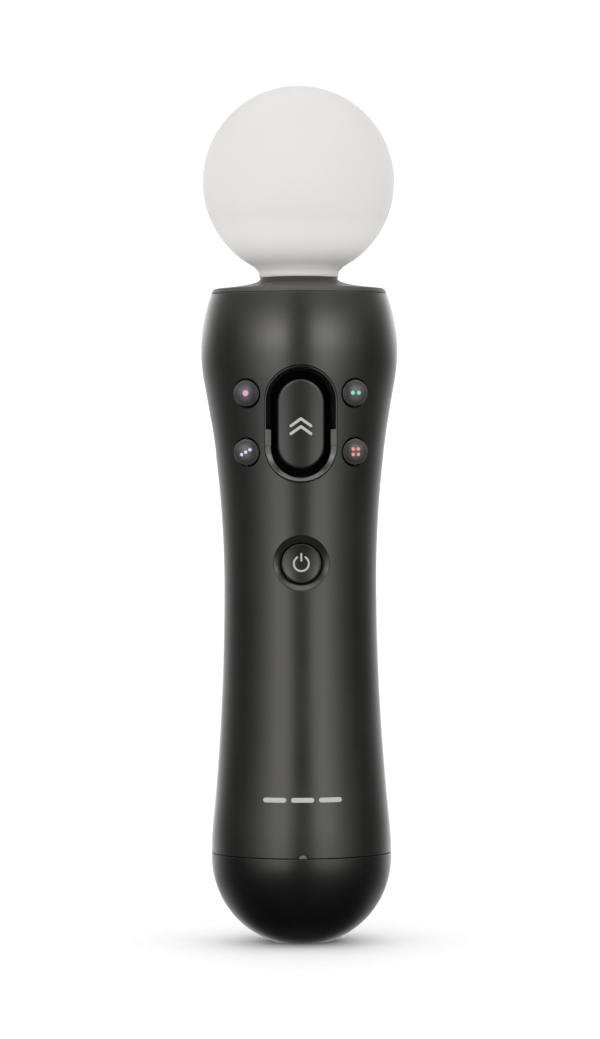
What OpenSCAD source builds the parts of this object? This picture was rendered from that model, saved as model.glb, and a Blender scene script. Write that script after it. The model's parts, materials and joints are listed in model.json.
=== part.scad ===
// Hand-held motion controller: a lit ball on a waisted round handle, with thumb
// buttons in front, a finger trigger behind and a rumble motor in the foot.
// Millimetres. +Z runs up the handle to the ball, -Y is the button side, and the
// origin is the centre of the flat foot.

/* [Handle] */
// Largest diameter, at the shoulder
shoulder_d = 45.9; // [44:0.1:50]
// Height of the shoulder above the foot
shoulder_z = 138.6; // [130:0.1:146]
// Smallest diameter, at the waist
waist_d = 35.5; // [34:0.1:40]
// Height of the waist above the foot
waist_z = 83.5; // [76:0.1:92]
// Diameter where the handle meets the bottom cap
foot_d = 42; // [40:0.1:46]
// Height of the seam between handle and bottom cap
cap_h = 21; // [20.4:0.1:23]
// Height from the shoulder up to the seam under the top collar
top_h = 12.7; // [11:0.1:17]
// Radius of the curve under the shoulder
shoulder_bend = 43; // [36:1:60]
// Radius of the curve above the shoulder
top_bend = 37; // [32:1:44]
// Radius of the curve above the foot
foot_bend = 70; // [50:1:90]
// Height of the centre of the bottom cap's dome
dome_z = 20; // [18:0.1:20.4]
// Wall thickness of the casings
wall = 2; // [1.6:0.1:2.4]
// Open gap at the seams between casings
seam_gap = 0.2; // [0.1:0.05:0.4]

/* [Ball] */
// Diameter of the light ball
ball_d = 44.8; // [40:0.1:50]
// Length of the neck between the collar and the ball
neck_len = 1.98; // [0.6:0.02:3]
// Wall thickness of the soft ball
ball_wall = 1.6; // [1.2:0.1:2.4]
// Radius of the ball's neck where it meets the collar
neck_r = 9.2; // [8.6:0.1:10]

/* [Main button] */
// Width of the main button
main_w = 10.8; // [9:0.1:12]
// Height of the main button
main_h = 20.5; // [18:0.1:22]
// How far its centre is below the shoulder
main_below = 17.8; // [15:0.1:20]
// Gap between the button and its well
well_gap_x = 1.45; // [1.2:0.05:1.7]
// Gap above and below the button
well_gap_z = 1.95; // [1.6:0.05:2.2]
// Width of the sloping rim around the well
rim_w = 1.5; // [1.2:0.05:2]
// Travel of the main button
main_travel = 0.9; // [0.5:0.1:1.2]

/* [Small buttons] */
// Diameter of the four action buttons
action_d = 6.1; // [5:0.1:6.6]
// Sideways distance of an action button from the centre line
action_x = 12.4; // [12.2:0.1:13.4]
// How far the upper pair is below the shoulder
action_upper_below = 10.7; // [9.6:0.1:12.6]
// How far the lower pair is below the shoulder
action_lower_below = 24.2; // [22.6:0.1:25.6]
// Outward tilt of the action buttons, in degrees
action_tilt = 15; // [10:1:18]
// Travel of the action buttons
action_travel = 0.8; // [0.5:0.1:1]
// Diameter of the home button
home_d = 9.1; // [8:0.1:10]
// Height of the home button above the foot
home_z = 88.7; // [84:0.1:94]
// Outer diameter of the dish around the home button
home_dish_d = 12.9; // [12:0.1:14]
// Travel of the home button
home_travel = 0.5; // [0.3:0.1:0.8]
// How far the two side buttons are below the shoulder
side_below = 20.6; // [15:0.1:23]
// Width of a side button
side_w = 3.6; // [3:0.1:4.4]
// Length of a side button
side_l = 8.6; // [7:0.1:10]
// Travel of the side buttons
side_travel = 0.6; // [0.3:0.1:0.8]
// Clearance around a moving button
button_gap = 0.25; // [0.15:0.05:0.35]

/* [Trigger] */
// Width of the trigger
trigger_w = 13.6; // [12:0.1:15]
// How far the trigger's pivot is below the shoulder
pivot_below = 5.6; // [4:0.1:7]
// Distance of the pivot behind the handle's axis
pivot_y = 13; // [12:0.1:14]
// Full pull of the trigger, in degrees
trigger_pull = 10; // [6:0.5:11]
// Diameter of the pivot pin
pin_d = 2; // [1.6:0.1:2.4]
// Distance from pivot to the trigger's lower edge
trigger_reach = 29.3; // [28:0.1:30]

/* [Inside] */
// Length of the battery
battery_l = 56; // [50:1:58]
// Width of the battery
battery_w = 22; // [18:0.5:23]
// Thickness of the battery
battery_t = 13; // [10:0.5:13]
// Thickness of the circuit boards
board_t = 1.2; // [0.8:0.1:1.6]
// Diameter of the rumble motor
motor_d = 12; // [10:0.5:13]
// Radius of the wrist cord's eyelet
eyelet_r = 1.5; // [1:0.1:1.6]

/* [Hidden] */

// Heights of what is set out from the shoulder
body_top = shoulder_z + top_h;
main_z = shoulder_z - main_below;
action_upper_z = shoulder_z - action_upper_below;
action_lower_z = shoulder_z - action_lower_below;
side_z = shoulder_z - side_below;
pivot_z = shoulder_z - pivot_below;

$fn = 64;
eps = 0.01;
far = 60;                 // longer than anything it cuts
sink = 0.05;              // hairline between casings and what seats in them

// Handle outline, driven by the sizes above
shoulder_r = shoulder_d / 2;
waist_r = waist_d / 2;
foot_r = foot_d / 2;
upper_drop = shoulder_z - waist_z;
lower_drop = waist_z - cap_h;

// Two arcs that meet on a common tangent, upright at both ends, have radii that
// add up to this for an offset d over a height h.
function arcs_sum(d, h) = (d * d + h * h) / (2 * d);
upper_sum = arcs_sum(shoulder_r - waist_r, upper_drop);
lower_sum = arcs_sum(foot_r - waist_r, lower_drop);
upper_hollow = upper_sum - shoulder_bend;
lower_hollow = lower_sum - foot_bend;
upper_turn_z = shoulder_z - upper_drop * shoulder_bend / upper_sum;
lower_turn_z = cap_h + lower_drop * foot_bend / lower_sum;

function bulge(r, bend, dz) = r - bend + sqrt(bend * bend - dz * dz);
function hollow(r, bend, dz) = r + bend - sqrt(bend * bend - dz * dz);

// Radius of the handle at a height
function body_r(z) =
    z > shoulder_z ? bulge(shoulder_r, top_bend, z - shoulder_z)
    : z > upper_turn_z ? bulge(shoulder_r, shoulder_bend, z - shoulder_z)
    : z > waist_z ? hollow(waist_r, upper_hollow, z - waist_z)
    : z > lower_turn_z ? hollow(waist_r, lower_hollow, z - waist_z)
    : bulge(foot_r, foot_bend, z - cap_h);

// Heights between a and b in n equal steps, without b
function steps(a, b, n) = [for (i = [0 : n - 1]) a + (b - a) * i / n];
body_low = cap_h + seam_gap / 2;
body_high = body_top - seam_gap / 2;
outline_z = concat(steps(body_low, lower_turn_z, 2), steps(lower_turn_z, waist_z, 7),
    steps(waist_z, upper_turn_z, 8), steps(upper_turn_z, shoulder_z, 4),
    steps(shoulder_z, body_high, 6), [body_high]);

// Inner radius of the casing, and depths of points on its two faces
function inner_r(z) = body_r(z) - wall;
function skin_y(x, z) = -sqrt(pow(body_r(z), 2) - x * x);
function lining_y(x, z) = -sqrt(pow(inner_r(z), 2) - x * x);

// Frames of the boards and the battery, from front to back
board_y = -9;                             // front face of the main board
board_back_y = board_y + board_t;
part_h = 1.4;                             // tallest chip behind the main board
plate_y = board_back_y + part_h + 0.2;    // front face of the chassis plate
plate_t = 1.2;
battery_y = plate_y + plate_t + 0.1;
battery_z = 47;
battery_top = battery_z + battery_l;
membrane_t = 1;
membrane_y = board_y - membrane_t;

dome_r = foot_r;
dome_inner_r = dome_r - wall;
lip_t = 1.4;

// ---- building blocks ----

// Lays a part drawn upwards so that it points along +Y (back) or -Y (front)
module point_back() rotate([-90, 0, 0]) children();
module point_front() rotate([90, 0, 0]) children();
// Lays a part drawn upwards along +X
module point_right() rotate([0, 90, 0]) children();

module tube(r, hole_r, h) difference() {
    cylinder(r = r, h = h);
    translate([0, 0, -1]) cylinder(r = hole_r, h = h + 2);
}

module box(x, y, z) translate([x[0], y[0], z[0]]) cube([x[1] - x[0], y[1] - y[0], z[1] - z[0]]);

// Flat round-ended outline, w wide and h tall
module slot2d(w, h) {
    square([w, h - w], center = true);
    for (s = [-1, 1]) translate([0, s * (h - w) / 2]) circle(r = w / 2);
}

// Round-ended bar through the front, centred at height z, from y0 back to y1
module front_slot(w, h, z, y0, y1)
    translate([0, y1, z]) point_front() linear_extrude(y1 - y0) slot2d(w, h);

// Handle solid, drawn in by inset, between two heights
module body_solid(inset = 0, low = body_low, high = body_high) {
    z = concat([low], [for (s = outline_z) if (s > low + 0.3 && s < high - 0.3) s], [high]);
    rotate_extrude($fn = 128) polygon(concat([[0, low]], [for (s = z) [body_r(s) - inset, s]],
        [[0, high]]));
}

module body_wall(inset, inner, low = body_low, high = body_high) {
    z = concat([low], [for (s = outline_z) if (s > low + 0.3 && s < high - 0.3) s], [high]);
    n = len(z);
    rotate_extrude($fn = 128) polygon(concat([for (s = z) [body_r(s) - inset, s]],
        [for (i = [n - 1 : -1 : 0]) [body_r(z[i]) - inner, z[i]]]));
}

// Moves to an action button's centre on the skin and points outwards along it
module at_action(side, z)
    translate([side * action_x, skin_y(action_x, z), z])
        rotate([0, 0, side * action_tilt]) point_front() children();

// A round wire along points, one ring of sides at each point, closed at both ends.
// Each ring's sideways direction is carried on from the ring before.
function unit(v) = v / norm(v);
function heading(p, i) = unit(p[min(i + 1, len(p) - 1)] - p[max(i - 1, 0)]);
function sideways(p, i, u) = let (t = heading(p, i), w = unit(u - (u * t) * t))
    i == len(p) - 1 ? [w] : concat([w], sideways(p, i + 1, w));
module wire(p, r, start, sides = 8) {
    n = len(p);
    us = sideways(p, 0, start);
    rings = [for (i = [0 : n - 1]) let (u = us[i], v = cross(heading(p, i), u))
        for (k = [0 : sides - 1]) let (a = 360 * k / sides) p[i] + r * (cos(a) * u + sin(a) * v)];
    walls = [for (i = [0 : n - 2]) for (k = [0 : sides - 1]) let (a = i * sides + k,
        b = i * sides + (k + 1) % sides) each [[a, b + sides, b], [a, a + sides, b + sides]]];
    caps = [[for (k = [0 : sides - 1]) k], [for (k = [sides - 1 : -1 : 0]) (n - 1) * sides + k]];
    polyhedron(rings, concat(walls, caps));
}

// Points on a smooth curve through hand-placed ones, m steps to each stretch
function spline(p, m = 4) = [for (i = [0 : len(p) - 2]) for (k = [0 : m - 1])
    let (a = p[max(i - 1, 0)], b = p[i], c = p[i + 1], d = p[min(i + 2, len(p) - 1)], t = k / m)
    0.5 * (2 * b + (c - a) * t + (2 * a - 5 * b + 4 * c - d) * t * t
    + (3 * b - a - 3 * c + d) * t * t * t), p[len(p) - 1]];

// ---- ball and lamp ----

ball_r = ball_d / 2;
collar_top = body_top + 3.9;              // where the ball's neck leaves the collar
ball_z = collar_top + neck_len + sqrt(pow(ball_r, 2) - pow(neck_r, 2));
sleeve_r = neck_r - 1;                    // neck below the collar's top
sleeve_hole_r = sleeve_r - ball_wall;
sleeve_z = body_top - 3.6;
sleeve_lip_t = 1.2;
lamp_z = body_top - 6.4;                  // underside of the lamp board
lamp_top = lamp_z + board_t;
lamp_r = 11;
holder_r = sleeve_hole_r - 0.1;
holder_hole_r = holder_r - 1.5;
holder_plate_t = 1.4;
guide_r = holder_hole_r - 0.05;
guide_z = lamp_top + 2;                   // ledge the light guide stands on
lamp_screw_x = lamp_r - 1.9;

module light_ball() color([0.9, 0.9, 0.88]) rotate_extrude($fn = 128) difference() {
    union() {
        intersection() {
            translate([0, ball_z]) circle(r = ball_r, $fn = 128);
            translate([0, collar_top]) square([far, far]);
        }
        polygon([[0, collar_top], [neck_r, collar_top], [neck_r + 0.35, collar_top + neck_len + 0.32],
            [neck_r + 0.9, collar_top + neck_len + 1.32], [0, collar_top + neck_len + 1.32]]);
        translate([0, sleeve_z]) square([sleeve_r, collar_top - sleeve_z + eps]);
        translate([0, sleeve_z]) square([sleeve_r + 1.2, sleeve_lip_t]);
    }
    intersection() {
        translate([0, ball_z]) circle(r = ball_r - ball_wall, $fn = 128);
        square([far, ball_z + ball_r]);
    }
    translate([-1, sleeve_z - 1]) square([sleeve_hole_r + 1, collar_top - sleeve_z + neck_len + 4]);
}

module ball_holder() color("white") difference() {
    union() {
        translate([0, 0, lamp_top]) cylinder(r = lamp_r - 0.4, h = holder_plate_t);
        translate([0, 0, lamp_top]) cylinder(r = holder_r, h = collar_top + 2 - lamp_top);
    }
    translate([0, 0, lamp_top - 1]) cylinder(r = holder_hole_r - 0.8, h = far);
    translate([0, 0, guide_z]) cylinder(r = holder_hole_r, h = far);
    for (s = [-1, 1]) translate([s * lamp_screw_x, 0, lamp_z]) cylinder(r = 0.78, h = 9);
}

// Moulded clear rod whose domed end stands inside the ball
module light_guide() color([0.9, 0.95, 1, 0.6]) {
    high = collar_top + 6;
    translate([0, 0, guide_z]) cylinder(r = guide_r, h = high - guide_z);
    intersection() {
        translate([0, 0, high]) sphere(r = guide_r);
        translate([0, 0, high - eps]) cylinder(r = far, h = far);
    }
}

module rgb_led() color("ivory") {
    translate([-2.5, -2.5, lamp_top]) cube([5, 5, 1.3]);
    translate([0, 0, lamp_top + 1.3 - eps]) cylinder(r = 1.9, h = 0.3);
}

module led_board() color("darkgreen") translate([0, 0, lamp_z]) difference() {
    cylinder(r = lamp_r, h = board_t);
    for (s = [-1, 1]) translate([s * lamp_screw_x, 0, -1]) cylinder(r = 0.78, h = 4);
}

module pan_screw(r, h, head_r, head_h) {
    cylinder(r = r, h = h + head_h / 4);
    translate([0, 0, h]) difference() {
        cylinder(r = head_r, h = head_h);
        for (a = [0, 90]) rotate(a) translate([-head_r * 0.6, -0.15, head_h / 2])
            cube([head_r * 1.2, 0.3, 5]);
    }
}

module led_board_screws() color("silver") for (s = [-1, 1])
    translate([s * lamp_screw_x, 0, lamp_z]) mirror([0, 0, 1])
        translate([0, 0, -board_t - holder_plate_t])
            pan_screw(0.75, board_t + holder_plate_t, 1.4, 0.8);

// Flat cable from the lamp board down to the main board
module led_cable() color("white")
    box([-3, 3], [board_back_y, board_back_y + 0.3], [lamp_z - 8, lamp_z]);

// ---- casings ----

collar_edge_r = body_r(body_top) - 0.25;
skirt_r = inner_r(body_top) - 0.15;
collar_low = body_top - 3.4;

module top_collar() color("dimgray") rotate_extrude($fn = 128) {
    polygon([[sleeve_r + sink, collar_top], [sleeve_r + sink, body_top - 2.2],
        [skirt_r - lip_t, body_top - 2.2], [skirt_r - lip_t, collar_low], [skirt_r, collar_low],
        [skirt_r, body_top], [collar_edge_r, body_top], [collar_edge_r - 0.4, body_top + 1.05],
        [collar_edge_r - 0.6, body_top + 1.2], [15.5, body_top + 1.7], [13, body_top + 2.1],
        [11.2, body_top + 2.5], [neck_r + 0.7, body_top + 2.85], [neck_r + 0.15, body_top + 3.2],
        [neck_r - 0.15, body_top + 3.5], [neck_r - 0.3, collar_top]]);
}

screw_x_top = 14.6;
screw_z_top = body_top - 7.2;
screw_x_low = 12.5;
screw_z_low = 28;
boss_r = 2.6;
screw_r = 1;
head_r = 1.9;
boss_y = 3;                               // rear end of the front casing's bosses
seam_lip = 1.2;
seam_lip_low = cap_h + 6;
seam_lip_high = body_top - 6;

module at_screws() {
    for (s = [-1, 1]) translate([s * screw_x_top, 0, screw_z_top]) point_back() children();
    for (s = [-1, 1]) translate([s * screw_x_low, 0, screw_z_low]) point_back() children();
}

// Round-ended bar through one side of the handle, from x0 out to x1
module side_slot(side, w, l, x0, x1) translate([side * x0, 0, side_z]) rotate([0, side * 90, 0])
    linear_extrude(x1 - x0) rotate(90) slot2d(w, l);

module side_openings() for (s = [-1, 1])
    side_slot(s, side_w + 2 * button_gap, side_l + 2 * button_gap, 12, far);

well_w = main_w + 2 * well_gap_x;
well_h = main_h + 2 * well_gap_z;
rim_outer_w = well_w + 2 * rim_w;
rim_outer_h = well_h + 2 * (rim_w - 0.2);

module front_shell() color([0.16, 0.16, 0.15]) difference() {
    union() {
        intersection() {
            body_wall(0, wall);
            box([-far, far], [-far, 0], [0, 3 * far]);
        }
        intersection() {
            body_wall(wall / 2, wall, seam_lip_low, seam_lip_high);
            box([-far, far], [-1, seam_lip], [0, 3 * far]);
        }
        intersection() {
            body_solid(wall / 2);
            at_screws() translate([0, 0, -far]) cylinder(r = boss_r, h = far + boss_y);
        }
    }
    // screw holes in the bosses
    at_screws() translate([0, 0, boss_y - 9]) cylinder(r = screw_r + 0.02, h = 12);
    // well of the main button
    front_slot(rim_outer_w + 0.1, rim_outer_h + 0.1, main_z, -far, -6);
    // action buttons
    for (s = [-1, 1], z = [action_upper_z, action_lower_z]) at_action(s, z)
        translate([0, 0, -9]) cylinder(r = action_d / 2 + button_gap, h = 20);
    // home button and its dish
    translate([0, -waist_r + 5, home_z]) point_front() cylinder(r = home_d / 2 + button_gap, h = 10);
    translate([0, skin_y(0, home_z) + 2, home_z]) scale([dish_stretch, 1, 1]) point_front()
        cylinder(r1 = dish_r - 2 * dish_slope, r2 = dish_r + dish_slope, h = 3);
    side_openings();
    // notch for the status window
    translate([0, 0, cap_h]) point_front() cylinder(r = lens_r + sink, h = far);
}
// The dish is a cone, stretched sideways so that its edge on the round skin is a circle
dish_r = home_dish_d / 2;
dish_slope = 1.6;
dish_stretch = dish_r / (dish_r - dish_slope * (skin_y(dish_r, home_z) - skin_y(0, home_z)));
lens_r = 0.9;

trigger_gap = 0.4;
trigger_low = pivot_z - trigger_reach;
trigger_high = pivot_z + 3.6;

module rear_shell() color([0.16, 0.16, 0.15]) difference() {
    union() {
        intersection() {
            body_wall(0, wall);
            box([-far, far], [0, far], [0, 3 * far]);
        }
        intersection() {
            body_solid(wall / 2);
            at_screws() translate([0, 0, boss_y + 0.1]) cylinder(r = boss_r, h = far);
        }
    }
    difference() {
        body_wall(wall / 2 - sink, wall + 1, seam_lip_low - sink, seam_lip_high + sink);
        box([-far, far], [seam_lip + sink, far], [0, 3 * far]);
        at_screws() cylinder(r = boss_r + 0.1, h = far);
    }
    at_screws() translate([0, 0, boss_y - 1]) cylinder(r = screw_r + 0.1, h = far);
    at_screws() translate([0, 0, screw_seat]) cylinder(r = head_r + 0.2, h = far);
    // trigger mouth
    box([-trigger_w / 2 - trigger_gap, trigger_w / 2 + trigger_gap], [8, far],
        [trigger_low - trigger_gap, trigger_high + trigger_gap]);
    side_openings();
}
screw_seat = boss_y + 8.5;

module shell_screws() color("silver") at_screws() translate([0, 0, boss_y - 5])
    pan_screw(screw_r, screw_seat - boss_y + 5, head_r, 1.3);

eyelet_y = 13;
eyelet_z = 6.2;
eyelet_web = 6;
eyelet_pocket_r = 2.6;
usb_y = -3.3;
usb_w = 7.7;
usb_t = 3.9;
ext_y = 3.4;
ext_w = 12;
ext_t = 4;
port_gap = 0.15;
contact_x = 10.5;
contact_r = 1.5;

module bottom_cap() color([0.09, 0.09, 0.09]) difference() {
    union() {
        rotate_extrude($fn = 128) difference() {
            union() {
                intersection() {
                    translate([0, dome_z]) circle(r = dome_r, $fn = 128);
                    square([far, dome_z]);
                }
                translate([0, dome_z]) square([dome_r, cap_h - seam_gap / 2 - dome_z]);
                translate([0, dome_z - 2]) square([lip_r, lip_top - dome_z + 2]);
            }
            intersection() {
                translate([0, dome_z]) circle(r = dome_inner_r - 0.1, $fn = 128);
                translate([0, wall]) square([far, dome_z - wall - 2]);
            }
            translate([-1, dome_z - 2 - eps]) square([lip_r - lip_t + 1, 7]);
        }
        // guides for the port board
        for (x = [6.3, -8.6], y = [port_board_t / 2 + sink, -port_board_t / 2 - sink - 1.2])
            box([x, x + 2.3], [y, y + 1.2], [1.5, 10]);
        // solid web around the cord eyelet
        intersection() {
            translate([0, 0, dome_z]) sphere(r = dome_r - wall / 2, $fn = 128);
            translate([-10, eyelet_y, eyelet_z]) point_right() cylinder(r = eyelet_r + 2.2, h = 20);
        }
    }
    translate([-far, eyelet_y, eyelet_z]) point_right() cylinder(r = eyelet_r, h = 2 * far);
    for (s = [-1, 1]) translate([s * (eyelet_web / 2 + 10), eyelet_y, eyelet_z]) point_right()
        translate([0, 0, -10]) cylinder(r = eyelet_pocket_r, h = 20);
    box([-usb_w / 2 - port_gap, usb_w / 2 + port_gap], [usb_y - usb_t / 2 - port_gap,
        usb_y + usb_t / 2 + port_gap], [-1, wall + 3]);
    box([-ext_w / 2 - port_gap, ext_w / 2 + port_gap], [ext_y - ext_t / 2 - port_gap,
        ext_y + ext_t / 2 + port_gap], [-1, wall + 3]);
    for (s = [-1, 1]) translate([s * contact_x, 0, -1]) cylinder(r = contact_r + sink, h = 8);
    // slot in the lip for the status window's stem
    box([-lens_r - sink, lens_r + sink], [-far, 0], [cap_h - seam_gap / 2, far]);
}
lip_top = cap_h + 3;
lip_r = inner_r(lip_top) - sink;
port_board_t = 1.2;

// Window of the status light, in the notch at the front of the seam, with a stem
// back to the lamp on the board
module status_lens() color([0.8, 0.8, 0.78, 0.7]) difference() {
    translate([0, board_y - 0.8, cap_h]) point_front()
        cylinder(r = lens_r, h = foot_r - 0.1 + board_y - 0.8);
    box([-far, far], [-far, 0], [0, cap_h + seam_gap / 2]);
}

// ---- front buttons ----

main_sunk = 0.3;                          // how far the main button sits below the skin
rim_back_y = -13.4;                       // rear face of the rim around its well
flange_t = 0.8;
main_back_y = rim_back_y + sink + flange_t;
dome_gap = 0.1;
pressed_dome = 0.5;                       // height left in a rubber dome at full travel
plunger_y = membrane_y - main_travel - pressed_dome;   // rear ends of the plungers

module main_button() color([0.13, 0.13, 0.13]) {
    intersection() {
        front_slot(main_w, main_h, main_z, -far, main_back_y - 0.2);
        body_solid(main_sunk);
    }
    // flange behind the rim, and the plunger
    front_slot(main_w + 5, main_h + 5.4, main_z, main_back_y - flange_t, main_back_y);
    translate([0, main_back_y - eps, main_z]) point_back()
        cylinder(r = 2.4, h = plunger_y - main_back_y + eps);
}

// The rim is one loop of points around the well for each corner of its section.
// It is steep above the thumb lands at its sides and shallow below them.
rim_n = 36;                               // steps around each end
rim_straight = (rim_outer_h - rim_outer_w) / 2;
well_straight = (well_h - well_w) / 2;
rim_edge = 0.15;                          // level edge on the skin
rim_deep = 2.9;
rim_shallow = 1.5;
rim_land = 0.25;
land_high = -0.24;                        // ends of the lands, along the straight sides
land_low = -0.94;

// Stops around the loop: [angle, how far along the straight side, drop to the well]
function rim_side(a, way) = let (stops = [[a, 0.6, rim_deep], [a, 0.2, rim_deep],
    [a, land_high + 0.02, rim_deep], [a, land_high, rim_land], [a, land_low, rim_land],
    [a, land_low - 0.02, rim_shallow]])
    [for (i = [0 : 5]) stops[way > 0 ? i : 5 - i]];
function rim_stops() = concat(
    [for (i = [0 : rim_n]) [180 * i / rim_n, 1, rim_deep]], rim_side(180, 1),
    [for (i = [0 : rim_n]) [180 + 180 * i / rim_n, -1, rim_shallow]], rim_side(0, -1));

function loop_point(stop, w, straight) = [w / 2 * cos(stop[0]),
    main_z + straight * stop[1] + w / 2 * sin(stop[0])];

module main_button_rim() color([0.07, 0.07, 0.07]) {
    stops = rim_stops();
    n = len(stops);
    outer = [for (s = stops) loop_point(s, rim_outer_w, rim_straight)];
    edge = [for (s = stops) loop_point(s, rim_outer_w - 2 * rim_edge, rim_straight)];
    well = [for (s = stops) loop_point(s, well_w, well_straight)];
    points = concat(
        [for (p = outer) [p[0], rim_back_y, p[1]]],
        [for (p = outer) [p[0], skin_y(p[0], p[1]) + sink, p[1]]],
        [for (p = edge) [p[0], skin_y(p[0], p[1]) + sink, p[1]]],
        [for (i = [0 : n - 1]) let (p = well[i]) [p[0], skin_y(p[0], p[1]) + stops[i][2], p[1]]],
        [for (p = well) [p[0], rim_back_y, p[1]]]);
    faces = [for (ring = [0 : 4]) for (i = [0 : n - 1]) let (a = ring * n + i,
        b = ring * n + (i + 1) % n, c = (ring + 1) % 5 * n + i,
        d = (ring + 1) % 5 * n + (i + 1) % n) each [[a, d, b], [a, c, d]]];
    polyhedron(points, faces);
    // clips behind the casing, above and below
    top = main_z + rim_outer_h / 2;
    low = main_z - rim_outer_h / 2;
    box([-3, 3], [lining_y(3, top) + 0.1, lining_y(3, top) + 1.1], [top - 1.2, top + 1]);
    box([-3, 3], [lining_y(3, low - 1) + 0.1, lining_y(3, low - 1) + 1.1], [low - 1, low + 1.2]);
}

module home_button() color([0.12, 0.12, 0.12]) difference() {
    union() {
        translate([0, home_back_y, home_z]) point_front()
            cylinder(r = home_d / 2, h = home_back_y - skin_y(0, home_z) - home_sunk);
        translate([0, home_back_y, home_z]) point_back() cylinder(r = home_d / 2 + 1, h = 0.8);
        translate([0, home_back_y, home_z]) point_back() cylinder(r = 2, h = home_tip_y - home_back_y);
    }
    // finger dish
    translate([0, skin_y(0, home_z) + home_sunk + 0.5 - home_hollow_r, home_z]) sphere(r = home_hollow_r);
}
home_back_y = lining_y(home_d / 2 + 1, home_z) + 0.15;
home_sunk = 0.55;
home_tip_y = membrane_y - home_travel - 0.9;
home_hollow_r = 20;

// Distances along an action button's axis, out from the skin and in from it
action_proud = action_travel + 0.3;
action_crown_r = 7.5;
barrel_depth = 2.9;
ear_depth = 3.3;
ear_t = 0.6;

module action_button(side, z) color([0.13, 0.13, 0.14]) {
    r = action_d / 2;
    reach = (plunger_y - skin_y(action_x, z)) / cos(action_tilt);
    stem = max(reach, ear_depth + ear_t);
    at_action(side, z) {
        intersection() {
            translate([0, 0, -barrel_depth]) cylinder(r = r, h = barrel_depth + action_proud);
            translate([0, 0, action_proud - action_crown_r]) sphere(r = action_crown_r);
        }
        translate([0, 0, -stem]) cylinder(r = 1.2, h = stem - barrel_depth + 0.5);
        // ears that stop it behind the casing
        translate([-0.7, -r - 1.1, -ear_depth - ear_t]) cube([1.4, 2 * r + 2.2, ear_t]);
    }
}

// Battery tray wall, small board and rubber pad that stand behind a side button
side_wall_x = battery_w / 2 + 0.2;
side_wall_t = 1.2;
side_board_x = side_wall_x + side_wall_t;
side_board_t = 0.8;
side_pad_t = 0.5;
side_face = body_r(side_z) - 0.35;
side_stop = sqrt(pow(inner_r(side_z - side_l / 2 - 0.5), 2) - pow(side_w / 2 + 0.5, 2)) - 0.1;
side_plunger = side_board_x + side_board_t + side_pad_t + side_travel + pressed_dome;

module side_button(side) color([0.12, 0.12, 0.12]) {
    difference() {
        side_slot(side, side_w, side_l, side_stop - 0.1, side_face);
        // shallow finger dish
        translate([side * (side_face + 11.7), 0, side_z]) rotate([90, 0, 0])
            cylinder(r = 12, h = 9, center = true);
    }
    side_slot(side, side_w + 1, side_l + 1, side_stop - flange_t, side_stop);
    translate([side * side_plunger, 0, side_z]) rotate([0, side * 90, 0])
        cylinder(r = 1.6, h = side_stop - side_plunger - 0.4);
}

// ---- trigger ----

finger_r = 22;
finger_z = pivot_z - 14;
finger_depth = 20.8;                      // nearest the finger's hollow comes to the axis
trigger_back = 24.3;
trigger_front = 15.5;
hub_r = 3;
coil_half = 3.4;
bracket_x = trigger_w / 2 + 0.5;
bracket_t = 1.6;
bracket_y = 2;
bracket_low = pivot_z - 27;
bracket_high = pivot_z + 7;
bracket_plate_t = 1.4;
pad_board_y = bracket_y + bracket_plate_t;

// Side view of the trigger: x is the distance behind the axis, y is the height
module trigger_side() difference() {
    intersection() {
        union() {
            translate([trigger_front, trigger_low]) square([trigger_back - trigger_front,
                trigger_high - trigger_low]);
            translate([pivot_y, pivot_z]) circle(r = hub_r);
            translate([pivot_y, pivot_z - hub_r]) square([6, 2 * hub_r]);
            translate([sensor_tip_y, sensor_z - 2]) square([7, 4]);
        }
        translate([pivot_y, pivot_z]) circle(r = trigger_reach, $fn = 128);
    }
    translate([finger_depth + finger_r, finger_z]) circle(r = finger_r, $fn = 128);
}
sensor_z = pivot_z - 21;
sensor_tip_y = pad_board_y + 3 + (pivot_z - sensor_z) * sin(trigger_pull);

module trigger() color([0.12, 0.12, 0.12]) difference() {
    intersection() {
        translate([-trigger_w / 2, 0, 0]) rotate([90, 0, 90]) linear_extrude(trigger_w) trigger_side();
        // keeps the top end inside the round of the handle
        union() {
            body_solid(-0.4, trigger_low - 1, trigger_high + 1);
            box([-far, far], [0, far], [0, shoulder_z - 9]);
        }
        // rounds both sides off from the finger's face
        translate([0, trigger_back - 14, 0]) scale([1, 1.16, 1]) cylinder(r = 12, h = far * 3);
    }
    translate([-far, pivot_y, pivot_z]) point_right() cylinder(r = pin_d / 2 + 0.05, h = 2 * far);
    // room for the spring around the hub
    box([-coil_half, coil_half], [0, trigger_front + 1.2], [pivot_z - 5, pivot_z + far]);
}

module trigger_pin() color("silver") translate([-bracket_x - bracket_t, pivot_y, pivot_z])
    point_right() cylinder(r = pin_d / 2, h = 2 * (bracket_x + bracket_t));

// Coil around the pin, one leg against the trigger and one against the bracket
coil_r = 2.1;
coil_wire_r = 0.25;
coil_turns = 4;
module trigger_spring() color("silver") {
    pitch = 1.1;
    n = 14;
    half = pitch * coil_turns / 2;
    low = pivot_z - coil_r;
    coil = [for (i = [0 : coil_turns * n]) let (a = 360 * i / n)
        [-half + pitch * i / n, pivot_y - coil_r * sin(a), pivot_z - coil_r * cos(a)]];
    wire(concat([[-half, trigger_front + 1.2 - coil_wire_r, low - 0.4],
        [-half, pivot_y + 1.6, low - 0.1]], coil, [[half, pivot_y - 2, low - 0.2],
        [half, bracket_y + bracket_plate_t + coil_wire_r, low - 1.6]]), coil_wire_r, [1, 0, 0], 6);
}

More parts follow.
